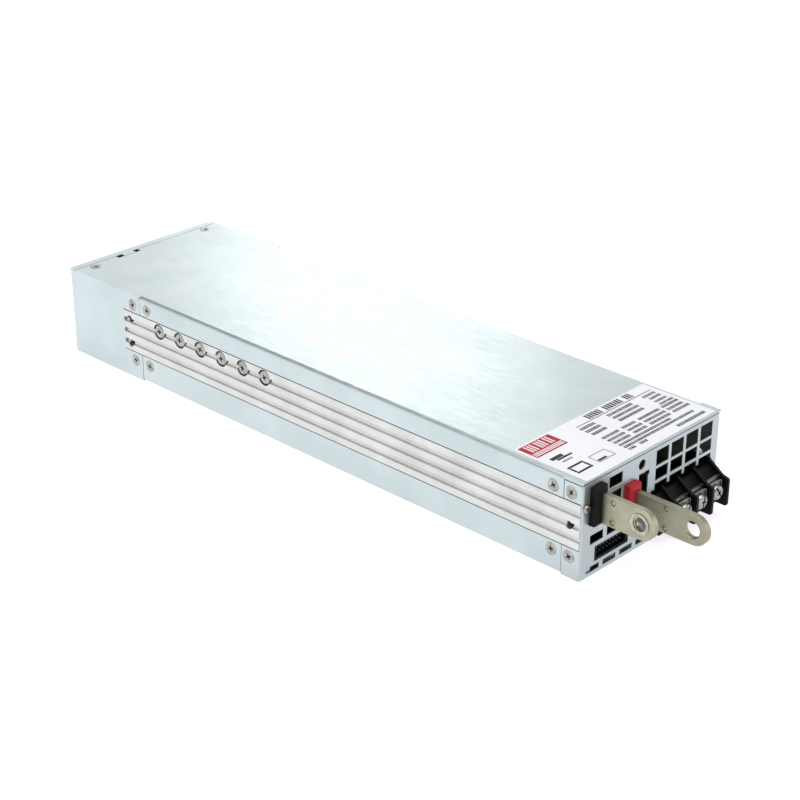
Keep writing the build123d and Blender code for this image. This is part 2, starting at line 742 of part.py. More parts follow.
with BuildPart() as trimmer_body:
    with BuildSketch(front_plane(control_front_y + trimmer_depth)):
        with Locations((trimmer_x, trimmer_z)):
            Rectangle(trimmer_size, trimmer_size)
    extrude(amount=trimmer_depth)
    with BuildSketch(front_plane(control_front_y + rotor_depth)):
        with Locations((trimmer_x, trimmer_z)):
            Circle(rotor_radius + rotor_fit)
    extrude(amount=rotor_depth, mode=Mode.SUBTRACT)
    with BuildSketch(Plane.YZ.offset(trimmer_x + trimmer_size / 2)):
        with Locations((control_front_y + trimmer_depth / 2, trimmer_z)):
            with GridLocations(2.5, 2.5, 2, 2):
                Circle(lead_radius)
    extrude(amount=control_x - trimmer_x - trimmer_size / 2)
save(trimmer_body, "trimmer_body")

with BuildPart() as trimmer_rotor:
    with BuildSketch(front_plane(control_front_y + rotor_depth - rotor_fit)):
        with Locations((trimmer_x, trimmer_z)):
            Circle(rotor_radius)
    extrude(amount=rotor_depth - rotor_fit)
    with BuildSketch(front_plane(control_front_y)):
        with Locations((trimmer_x, trimmer_z)):
            Rectangle(1.5 * rotor_radius, 0.35 * rotor_radius)
    extrude(amount=-0.4 * rotor_depth, mode=Mode.SUBTRACT)
save(trimmer_rotor, "trimmer_rotor")

with BuildPart() as status_led:
    with BuildSketch(front_plane(control_front_y + led_length - led_radius)):
        with Locations((led_x, led_z)):
            Circle(led_radius)
    extrude(amount=led_length)
    fillet(status_led.edges().group_by(Axis.Y)[0], 0.8 * led_radius)
    with BuildSketch(Plane.YZ.offset(led_x)):
        with Locations((control_front_y + led_length - 2 * led_radius, led_z)):
            Rectangle(led_radius, led_radius)
    extrude(amount=control_x - led_x)
save(status_led, "status_led")

# Main board on its standoffs, over the insulation film
standoff_spots = [(side * standoff_x, y) for side in (-1, 1) for y in standoff_rows]
with BuildPart() as main_board:
    with BuildSketch(Plane.XY.offset(board_bottom)):
        with Locations((0, board_front_y)):
            Rectangle(2 * board_half, board_rear_y - board_front_y, align=(Align.CENTER, Align.MIN))
        with Locations((block_left_x - fit, board_front_y)):
            Rectangle(2 * board_half, block_rear_y + fit - board_front_y,
                      align=(Align.MIN, Align.MIN), mode=Mode.SUBTRACT)
        with Locations(*standoff_spots):
            Circle(flat_shank_radius + fit, mode=Mode.SUBTRACT)
    extrude(amount=board_thickness)
save(main_board, "main_board")

with BuildPart() as board_standoffs:
    with BuildSketch(Plane.XY.offset(sheet)):
        with Locations(*standoff_spots):
            Circle(standoff_radius)
            Circle(standoff_bore, mode=Mode.SUBTRACT)
    extrude(amount=board_bottom - sheet)
save(board_standoffs, "board_standoffs")

board_screw = pan_screw(2.5, 1.6, standoff_bore - thread_fit, board_top - sheet - 0.2)
with BuildPart() as board_screws:
    with Locations(*[(x, y, board_top) for x, y in standoff_spots]):
        add(board_screw)
save(board_screws, "board_screws")

film_front_y = floor_front + joggle
film_rear_y = floor_rear - joggle
with BuildPart() as insulation_sheet:
    with BuildSketch(Plane.XY.offset(sheet)):
        with Locations((0, film_front_y)):
            Rectangle(2 * board_half - 2 * ledge_width, film_rear_y - film_front_y,
                      align=(Align.CENTER, Align.MIN))
        with Locations(*standoff_spots):
            Circle(standoff_radius + fit, mode=Mode.SUBTRACT)
    extrude(amount=sheet_thickness)
save(insulation_sheet, "insulation_sheet")


def board_block(name, x, y, size, edge):
    """Box-shaped component standing on the board."""
    with BuildPart() as block:
        with Locations((x, y, board_top)):
            Box(*size, align=(Align.CENTER, Align.CENTER, Align.MIN))
        fillet(block.edges().filter_by(Axis.Z), edge)
        chamfer(block.edges().group_by(Axis.Z)[-1], 0.4 * edge)
    save(block, name)


def wound_ring(x, y, outer, inner, height, turns):
    """Ring core under a winding of rounded ribs, lying on the board."""
    with BuildPart() as ring:
        with Locations((x, y, board_top)):
            Cylinder(outer - turn_depth, height, align=(Align.CENTER, Align.CENTER, Align.MIN))
            Cylinder(inner + turn_depth, height, align=(Align.CENTER, Align.CENTER, Align.MIN),
                     mode=Mode.SUBTRACT)
            with PolarLocations((outer + inner) / 2, turns):
                Box(outer - inner, turn_width, height + 2 * turn_depth,
                    align=(Align.CENTER, Align.CENTER, Align.MIN))
    return ring


def along(share):
    """Y at a share of the case's length, counted from the front."""
    return front_y + share * case_length


def across(share):
    """X at a share of the way from the middle to the right heatsink."""
    return share * sink_inner_x


# Mains side of the board
turn_depth = 0.8
turn_width = 2.0
x_cap_size = (12.0, 26.0, 20.0)
relay_size = (12.8, 20.0, 15.5)
board_block("x_capacitor", across(0.655), along(0.173), x_cap_size, 1.0)
board_block("inrush_relay", across(0.315), along(0.26), relay_size, 0.8)
emi_choke = wound_ring(across(0.576), along(0.353), across(0.34), across(0.157), 13.0, 18)
save(emi_choke, "emi_choke")
pfc_inductor = wound_ring(across(0.445), along(0.473), across(0.419), across(0.196), 17.0, 24)
save(pfc_inductor, "pfc_inductor")

# Mains fuse in its two clips
fuse_length = 22.0
fuse_radius = 2.6
fuse_cap_radius = 3.1
fuse_cap_length = 6.0
fuse_clip_width = 4.0
fuse_clip_length = 5.0
fuse_z = board_top + fuse_cap_radius + 0.5
fuse_cap_x = (fuse_length - fuse_cap_length) / 2
with BuildPart() as input_fuse:
    with Locations((across(0.524), along(0.087), fuse_z)):
        Cylinder(fuse_radius, fuse_length, rotation=(0, 90, 0))
        with Locations((-fuse_cap_x, 0, 0), (fuse_cap_x, 0, 0)):
            Cylinder(fuse_cap_radius, fuse_cap_length, rotation=(0, 90, 0))
            Box(fuse_clip_width, fuse_clip_length, fuse_z - board_top,
                align=(Align.CENTER, Align.CENTER, Align.MAX))
save(input_fuse, "input_fuse")

# Bridge rectifier flat against the right heatsink
bridge_y = along(0.267)
bridge_length = 22.0
bridge_height = 20.0
bridge_thickness = 4.6
bridge_lift = 6.0
bridge_legs = 4
bridge_leg_pitch = 5.1
with BuildPart() as bridge_rectifier:
    with BuildSketch(Plane.YZ.offset(sink_inner_x)):
        with Locations((bridge_y, board_top + bridge_lift)):
            Rectangle(bridge_length, bridge_height, align=(Align.CENTER, Align.MIN))
    extrude(amount=-bridge_thickness)
    chamfer(bridge_rectifier.edges().filter_by(Axis.Z), 0.6)
    with Locations((sink_inner_x - bridge_thickness / 2, bridge_y, board_top)):
        with GridLocations(0, bridge_leg_pitch, 1, bridge_legs):
            Box(1.0, 1.3, bridge_lift + fit, align=(Align.CENTER, Align.CENTER, Align.MIN))
save(bridge_rectifier, "bridge_rectifier")

# Bulk capacitors near the fans
bulk_radius = 12.5
bulk_height = cover_under - board_top - 2.6
bulk_groove = 0.6
bulk_gap = 1.6  # between the two cans
with BuildPart() as bulk_can:
    Cylinder(bulk_radius, bulk_height, align=(Align.CENTER, Align.CENTER, Align.MIN))
    chamfer(bulk_can.edges().group_by(Axis.Z)[-1], 1.0)
    with BuildSketch(Plane.XZ):
        with Locations((bulk_radius, 5 * bulk_groove)):
            Circle(bulk_groove)
    revolve(axis=Axis.Z, mode=Mode.SUBTRACT)
for side, name in ((-1, "bulk_capacitor_left"), (1, "bulk_capacitor_right")):
    with BuildPart() as bulk_capacitor:
        with Locations((side * (bulk_radius + bulk_gap / 2), along(0.813), board_top)):
            add(bulk_can.part)
    save(bulk_capacitor, name)

# Main transformer: ferrite core round the winding on its bobbin
core_y = along(0.653)
core_low = board_top + 2.0
core_width = 34.0
core_depth = 20.0
core_height = cover_under - core_low - 3.6
core_leg = 6.0
core_side_leg = 3.0
core_post_radius = 6.0
winding_gap = 0.3
winding_radius = core_width / 2 - core_side_leg - winding_gap
pin_rail_size = (24.0, 6.0, 9.0)
pin_rail_y = 14.0
with BuildPart() as transformer_core:
    with Locations((0, core_y, core_low)):
        Box(core_width, core_depth, core_height, align=(Align.CENTER, Align.CENTER, Align.MIN))
    with Locations((0, core_y, core_low + core_leg)):
        Box(core_width - 2 * core_side_leg, 2 * core_depth, core_height - 2 * core_leg,
            align=(Align.CENTER, Align.CENTER, Align.MIN), mode=Mode.SUBTRACT)
    with Locations((0, core_y, core_low)):
        Cylinder(core_post_radius, core_height, align=(Align.CENTER, Align.CENTER, Align.MIN))
save(transformer_core, "transformer_core")

with BuildPart() as transformer_winding:
    with Locations((0, core_y, core_low + core_leg + winding_gap)):
        Cylinder(winding_radius, core_height - 2 * core_leg - 2 * winding_gap,
                 align=(Align.CENTER, Align.CENTER, Align.MIN))
        Cylinder(core_post_radius + winding_gap, core_height,
                 align=(Align.CENTER, Align.CENTER, Align.MIN), mode=Mode.SUBTRACT)
    with Locations((0, core_y - pin_rail_y, board_top), (0, core_y + pin_rail_y, board_top)):
        Box(*pin_rail_size, align=(Align.CENTER, Align.CENTER, Align.MIN))
save(transformer_winding, "transformer_winding")

# Output filter
output_cap_radius = 5.0
output_cap_height = 25.0
output_cap_pitch = 12.0
output_choke = wound_ring(across(-0.445), along(0.473), across(0.393), across(0.183), 20.0, 14)
save(output_choke, "output_choke")
with BuildPart() as output_capacitors:
    with Locations((across(-0.524), along(0.28), board_top)):
        with GridLocations(output_cap_pitch - 0.6, output_cap_pitch, 2, 4):
            Cylinder(output_cap_radius, output_cap_height,
                     align=(Align.CENTER, Align.CENTER, Align.MIN))
    chamfer(output_capacitors.edges().group_by(Axis.Z)[-1], 0.6)
save(output_capacitors, "output_capacitors")

# Power devices on both heatsinks
pad_thickness = 0.2
tab_width = 10.0
tab_thickness = 1.3
tab_top = device_screw_z + 2.8
package_top = device_screw_z - 3.4
package_low = tab_top - 15.5
package_thickness = 4.5
device_face_x = sink_inner_x - pad_thickness
device_back_x = device_face_x - tab_thickness


def device_row(side):
    """Six tab-mounted transistors with their legs down to the board."""
    face = side * device_face_x
    with BuildPart() as row:
        with BuildSketch(Plane.YZ.offset(face)):
            with Locations(*[(y, package_low) for y in device_rows]):
                Rectangle(tab_width, tab_top - package_low, align=(Align.CENTER, Align.MIN))
        extrude(amount=-side * tab_thickness)
        with BuildSketch(Plane.YZ.offset(face)):
            with Locations(*[(y, package_low) for y in device_rows]):
                Rectangle(tab_width, package_top - package_low, align=(Align.CENTER, Align.MIN))
        extrude(amount=-side * package_thickness)
        legs = [(y + dy, package_low) for y in device_rows for dy in (-2.54, 0, 2.54)]
        with BuildSketch(Plane.YZ.offset(face - side * 2.4)):
            with Locations(*legs):
                Rectangle(0.8, package_low - board_top, align=(Align.CENTER, Align.MAX))
        extrude(amount=-side * 0.5)
        with BuildSketch(Plane.YZ.offset(face)):
            with Locations(*[(y, device_screw_z) for y in device_rows]):
                Circle(device_hole_radius + fit)
        extrude(amount=-side * package_thickness, mode=Mode.SUBTRACT)
    return row


left_transistors = device_row(-1)
save(left_transistors, "left_transistors")
right_transistors = device_row(1)
save(right_transistors, "right_transistors")

pad_length = (device_count - 1) * device_pitch + tab_width + 3.0
pad_y = (device_rows[0] + device_rows[-1]) / 2
with BuildPart() as insulator_pads:
    for side in (-1, 1):
        with BuildSketch(Plane.YZ.offset(side * sink_inner_x)):
            with Locations((pad_y, package_low - 1.0)):
                Rectangle(pad_length, tab_top - package_low + 2.0, align=(Align.CENTER, Align.MIN))
            with Locations(*[(y, device_screw_z) for y in device_rows]):
                Circle(device_hole_radius + fit, mode=Mode.SUBTRACT)
        extrude(amount=-side * pad_thickness)
save(insulator_pads, "insulator_pads")

nut_flats = 5.5
nut_height = 2.4
with BuildPart() as device_nuts:
    for side in (-1, 1):
        with BuildSketch(Plane.YZ.offset(side * device_back_x)):
            with Locations(*[(y, device_screw_z) for y in device_rows]):
                RegularPolygon(nut_flats / 2, 6, major_radius=False)
                Circle(device_shank_radius + thread_fit, mode=Mode.SUBTRACT)
        extrude(amount=-side * nut_height)
save(device_nuts, "device_nuts")


def on_fan(side, y):
    """Plane on a fan's axis at y, facing the rear."""
    return Plane(origin=(side * fan_x, y, fan_z), x_dir=(1, 0, 0), z_dir=(0, 1, 0))


def fan_frame(side):
    """Square frame with a round duct, four struts and the bearing tube at the rear."""
    with BuildPart() as frame:
        with BuildSketch(on_fan(side, fan_front_y)) as outline:
            Rectangle(fan_width, fan_height)
            fillet(outline.vertices(), 1.5)
            Circle(fan_bore, mode=Mode.SUBTRACT)
            with GridLocations(2 * fan_hole_dx, 2 * fan_hole_dz, 2, 2):
                Circle(fan_hole_radius, mode=Mode.SUBTRACT)
        extrude(amount=fan_depth)
        with BuildSketch(on_fan(side, fan_rear_y - fan_web)):
            Circle(hub_radius)
            with PolarLocations(0, 4, start_angle=0):
                Rectangle(fan_bore + 0.4, fan_strut, align=(Align.MIN, Align.CENTER))
        extrude(amount=fan_web)
        with BuildSketch(on_fan(side, fan_rear_y - fan_web - 14.0)):
            Circle(bearing_radius)
        extrude(amount=14.0 + fan_web)
        with BuildSketch(on_fan(side, fan_rear_y - 1.0)):
            Circle(shaft_radius + shaft_fit)
        extrude(amount=-fan_depth, mode=Mode.SUBTRACT)
        corners = [
            Plane(origin=(side * fan_x + dx, rear_y, fan_z + dz), z_dir=(0, 1, 0))
            for dx in (-fan_hole_dx, fan_hole_dx)
            for dz in (-fan_hole_dz, fan_hole_dz)
        ]
        with Locations(*corners):
            CounterSinkHole(fan_hole_radius, flat_head_radius + thread_fit, 2 * sheet, 90)
    return frame


def fan_rotor(side):
    """Hub cup with its shaft and swept blades."""
    hub_front_y = fan_front_y + hub_setback
    tip_radius = fan_bore - blade_tip_gap
    with BuildPart() as rotor:
        with BuildSketch(on_fan(side, hub_front_y)):
            Circle(hub_radius)
        extrude(amount=hub_depth)
        fillet(rotor.edges().group_by(Axis.Y)[0], 0.8)
        with BuildSketch(on_fan(side, hub_front_y + hub_wall)):
            Circle(hub_radius - hub_wall)
        extrude(amount=hub_depth, mode=Mode.SUBTRACT)
        with BuildSketch(on_fan(side, hub_front_y)):
            Circle(shaft_radius)
        extrude(amount=fan_rear_y - 1.5 - hub_front_y)
        blade_y = hub_front_y + 1.0
        for n in range(blade_count):
            angle = 360.0 * n / blade_count
            out = Vector(cos(radians(angle)), 0, sin(radians(angle)))
            root = Vector(side * fan_x, blade_y, fan_z) + out * (hub_radius - 0.5 * hub_wall)
            with BuildSketch(Plane(origin=root, x_dir=(0, 1, 0), z_dir=out)):
                with BuildLine(mode=Mode.PRIVATE) as mean_line:
                    ThreePointArc((0, 0), (0.55 * blade_chord, 2.6),
                                  (blade_chord * cos(radians(blade_span_angle / 2)),
                                   blade_chord * sin(radians(blade_span_angle))))
                SlotArc(mean_line.edge(), blade_thickness)
            extrude(amount=fan_bore)
        with BuildSketch(on_fan(side, fan_front_y)):
            Circle(tip_radius)
        extrude(amount=fan_depth, mode=Mode.INTERSECT)
    return rotor


for side, name in ((-1, "left"), (1, "right")):
    frame = fan_frame(side)
    save(frame, f"fan_frame_{name}")
    rotor = fan_rotor(side)
    save(rotor, f"fan_rotor_{name}")

with BuildPart() as fan_stators:
    for side in (-1, 1):
        with BuildSketch(on_fan(side, fan_rear_y - fan_web - stator_depth)):
            Circle(stator_radius)
            Circle(bearing_radius, mode=Mode.SUBTRACT)
        extrude(amount=stator_depth)
save(fan_stators, "fan_stators")

with BuildPart() as fan_screws:
    with Locations(*fan_screw_planes):
        add(flat_screw(6.0))
save(fan_screws, "fan_screws")
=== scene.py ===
import bpy
import bmesh
import math
import random
from mathutils import Matrix, Vector


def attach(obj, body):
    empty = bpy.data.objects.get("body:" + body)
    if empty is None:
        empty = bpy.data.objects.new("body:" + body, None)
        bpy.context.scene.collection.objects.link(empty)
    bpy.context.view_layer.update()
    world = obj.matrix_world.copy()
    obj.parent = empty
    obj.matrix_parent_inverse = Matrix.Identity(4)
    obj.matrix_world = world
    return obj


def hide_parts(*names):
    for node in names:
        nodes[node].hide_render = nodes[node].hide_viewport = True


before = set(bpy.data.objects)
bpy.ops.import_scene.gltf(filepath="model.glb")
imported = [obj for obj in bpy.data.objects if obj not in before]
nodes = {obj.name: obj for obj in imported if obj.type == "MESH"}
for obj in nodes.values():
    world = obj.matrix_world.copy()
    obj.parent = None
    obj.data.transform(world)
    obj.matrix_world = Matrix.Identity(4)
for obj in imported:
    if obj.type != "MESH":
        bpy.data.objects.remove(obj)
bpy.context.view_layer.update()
mm = 0.001
random.seed(7)


# Small helpers used all through the script

def hexColour(code, alpha=1.0):
    channels = [int(code[i:i + 2], 16) / 255 for i in (0, 2, 4)]
    linear = [c / 12.92 if c <= 0.04045 else ((c + 0.055) / 1.055) ** 2.4 for c in channels]
    return (*linear, alpha)


def addNode(tree, kind, settings=None, links=None):
    node = tree.nodes.new(kind)
    for key, value in (settings or {}).items():
        if key == "stops":
            ramp = node.color_ramp
            while len(ramp.elements) < len(value):
                ramp.elements.new(0.5)
            for stop, (place, colour) in zip(ramp.elements, value):
                stop.position = place
                stop.color = colour
        elif isinstance(key, int) or key[0].isupper():
            node.inputs[key].default_value = value
        else:
            setattr(node, key, value)
    for key, source in (links or {}).items():
        tree.links.new(source, node.inputs[key])
    return node


def deselectAll():
    bpy.ops.object.select_all(action="DESELECT")


def pickOnly(*pieces):
    deselectAll()
    for piece in pieces:
        piece.select_set(True)
    bpy.context.view_layer.objects.active = pieces[0]


def editMode(piece):
    pickOnly(piece)
    bpy.ops.object.mode_set(mode="EDIT")
    bpy.ops.mesh.select_mode(type="FACE")


def objectMode():
    bpy.ops.object.mode_set(mode="OBJECT")


def selectFaces(piece, wanted):
    mesh = bmesh.from_edit_mesh(piece.data)
    for face in mesh.faces:
        face.select_set(bool(wanted(face.calc_center_median(), face.normal)))
    mesh.select_flush_mode()
    bmesh.update_edit_mesh(piece.data)


def applyModifier(piece, kind, settings):
    pickOnly(piece)
    modifier = piece.modifiers.new(kind.title(), kind)
    for key, value in settings.items():
        setattr(modifier, key, value)
    bpy.ops.object.modifier_apply(modifier=modifier.name)


def smoothByAngle(piece, degrees=35):
    pickOnly(piece)
    bpy.ops.object.shade_smooth_by_angle(angle=math.radians(degrees))


def newPiece(name):
    piece = bpy.context.active_object
    piece.name = name
    piece.data.name = name
    return piece


def dress(piece, material):
    piece.data.materials.clear()
    piece.data.materials.append(material)


def place(piece):
    pickOnly(piece)
    bpy.ops.object.transform_apply(location=True, rotation=True, scale=True)


def finishPiece(piece, material, body, slot, *replaced):
    if material:  # a screw comes with two already, one of them the painted shade in its recess
        dress(piece, material)
    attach(piece, body)
    if replaced:
        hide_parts(*replaced)
    return piece


def copiesOf(source, name, places):
    pieces = []
    for matrix in places:
        copy = source.copy()
        copy.data = source.data.copy()
        copy.data.transform(matrix)
        bpy.context.scene.collection.objects.link(copy)
        pieces.append(copy)
    pickOnly(*pieces)
    bpy.ops.object.join()
    return newPiece(name)


# Where a copy goes, in mm: what stood upright at the origin points out of that face of the case,
# turned round itself by so many radians

def pointing(x, y, z, degrees, axis, turn):
    facing = Matrix.Rotation(math.radians(degrees), 4, axis)
    return Matrix.Translation((x * mm, y * mm, z * mm)) @ facing @ Matrix.Rotation(turn, 4, "Z")


def sideways(x, y, z, turn=0.0):
    return pointing(x, y, z, 90 if x > 0 else -90, "Y", turn)


def facingFront(x, y, z, turn=0.0):
    return pointing(x, y, z, 90, "X", turn)


def facingRear(x, y, z, turn=0.0):
    return pointing(x, y, z, -90, "X", turn)


def facingUp(x, y, z):
    return Matrix.Translation((x * mm, y * mm, z * mm))


# Camera, light and floor

camera = {
    "place": (-0.52115, -0.51566, 0.36551),
    "azimuth": -46.339,  # degrees, as the photograph was taken
    "elevation": 25.907,
    "roll": 0.089,
    "lens": 85.34,  # mm
    "sensor": 36.0,  # mm
    "nearest": 0.02,  # metres
}

studio = {
    "floorSize": 8.0,  # metres
    "floorColour": "909498",
    "floorGlow": (0.80, 1.18),  # a lit sweep, nearly white in front and brighter at the left
    "glowColours": ("FFF9FD", "FFFFFF"),  # a breath of violet in front, which the panel mirrors
    "glowEdge": (-0.13, -0.07),  # y less x, in metres, between which the glow grows
    "skyColour": "FDFEFF",
    "skyStrength": 1.73,
    # sine of the height above the horizon, share of the strength: a bright belt that the top face
    # mirrors, a dim one that draws the bends, and a wide softbox overhead
    "skyBelts": ((0.47, 0.86), (0.57, 0.14), (0.78, 0.14), (0.88, 1.0)),
    "lights": {
        # name: (place, aims at, width, height, watts)
        "topSoftbox": ((1.028, 1.003, 0.68), (0, 0, 0.04), 0.38, 0.62, 1.36),
        "overhead": ((-0.25, -0.05, 1.5), (0, 0, 0), 1.3, 1.3, 12.0),
        "frontFill": ((0.5, -1.3, 0.7), (0, -0.15, 0.02), 0.5, 0.5, 1.5),
    },
}


def setUpCamera():
    a, e, r = (math.radians(camera[k]) for k in ("azimuth", "elevation", "roll"))
    back = Vector((math.sin(a) * math.cos(e), -math.cos(a) * math.cos(e), math.sin(e)))
    right = Vector((0, 0, 1)).cross(back).normalized()
    up = back.cross(right)
    rolledRight = math.cos(r) * right + math.sin(r) * up
    rolledUp = -math.sin(r) * right + math.cos(r) * up
    turned = Matrix((rolledRight, rolledUp, back)).transposed().to_4x4()
    data = bpy.data.cameras.new("photoCamera")
    data.lens = camera["lens"]
    data.sensor_width = camera["sensor"]
    data.clip_start = camera["nearest"]
    item = bpy.data.objects.new("photoCamera", data)
    item.matrix_world = Matrix.Translation(camera["place"]) @ turned
    bpy.context.scene.collection.objects.link(item)
    bpy.context.scene.camera = item


def setUpLights():
    for name, (spot, target, width, height, watts) in studio["lights"].items():
        data = bpy.data.lights.new(name, "AREA")
        data.shape = "RECTANGLE"
        data.size = width
        data.size_y = height
        data.energy = watts
        item = bpy.data.objects.new(name, data)
        item.location = spot
        aim = Vector(target) - Vector(spot)
        item.rotation_euler = aim.to_track_quat("-Z", "Y").to_euler()
        bpy.context.scene.collection.objects.link(item)


def setUpSky():
    world = bpy.data.worlds.new("studioSky")
    bpy.context.scene.world = world
    world.use_nodes = True
    tree = world.node_tree
    tree.nodes.clear()
    coords = addNode(tree, "ShaderNodeTexCoord")
    split = addNode(tree, "ShaderNodeSeparateXYZ", None, {0: coords.outputs["Generated"]})
    stops = [(height, (share, share, share, 1)) for height, share in studio["skyBelts"]]
    belts = addNode(tree, "ShaderNodeValToRGB", {"stops": stops}, {"Fac": split.outputs["Z"]})
    strength = addNode(tree, "ShaderNodeMath", {"operation": "MULTIPLY", 1: studio["skyStrength"]},
                       {0: belts.outputs["Color"]})
    sky = addNode(tree, "ShaderNodeBackground", {"Color": hexColour(studio["skyColour"])},
                  {"Strength": strength.outputs[0]})
    addNode(tree, "ShaderNodeOutputWorld", None, {"Surface": sky.outputs[0]})


def setUpFloor():
    deselectAll()
    bpy.ops.mesh.primitive_plane_add(size=studio["floorSize"], location=(0, 0, 0))
    floor = newPiece("floor")
    material = bpy.data.materials.new("paleFloor")
    material.use_nodes = True
    tree = material.node_tree
    tree.nodes.clear()
    lit = addNode(tree, "ShaderNodeBsdfDiffuse", {"Color": hexColour(studio["floorColour"])})
    coords = addNode(tree, "ShaderNodeTexCoord")
    split = addNode(tree, "ShaderNodeSeparateXYZ", None, {0: coords.outputs["Object"]})
    leftward = addNode(tree, "ShaderNodeMath", {"operation": "SUBTRACT"},
                       {0: split.outputs["Y"], 1: split.outputs["X"]})
    share = addNode(tree, "ShaderNodeMapRange",
                    {"From Min": studio["glowEdge"][0], "From Max": studio["glowEdge"][1]},
                    {"Value": leftward.outputs[0]})
    stops = [(n, hexColour(code)) for n, code in enumerate(studio["glowColours"])]
    tint = addNode(tree, "ShaderNodeValToRGB", {"stops": stops}, {"Fac": share.outputs["Result"]})
    strength = addNode(tree, "ShaderNodeMapRange",
                       {"To Min": studio["floorGlow"][0], "To Max": studio["floorGlow"][1]},
                       {"Value": share.outputs["Result"]})
    glow = addNode(tree, "ShaderNodeEmission", None,
                   {"Color": tint.outputs["Color"], "Strength": strength.outputs["Result"]})
    both = addNode(tree, "ShaderNodeAddShader", None, {0: lit.outputs[0], 1: glow.outputs[0]})
    addNode(tree, "ShaderNodeOutputMaterial", None, {"Surface": both.outputs[0]})
    floor.data.materials.append(material)


setUpCamera()
setUpLights()
setUpSky()
setUpFloor()
bpy.context.scene.view_settings.view_transform = "Standard"
print("camera, lights and floor ready")


# Materials. Each dictionary is one finish: two shades, the size of its clouds and grain in mm,
# how the grain is drawn out along X, Y and Z (under 1 is longer), its roughness range and its bump
# height in mm. A few that mirror less than the usual gloss state their own.

noiseSettings = {
    "cloudShades": (0.32, 0.68),  # cloud values that take the dark and the light shade
    "grainRange": (0.3, 0.7),  # grain values that take the ends of the roughness range
    "bumpStrength": 0.6,
    "usualGloss": 0.5,
}

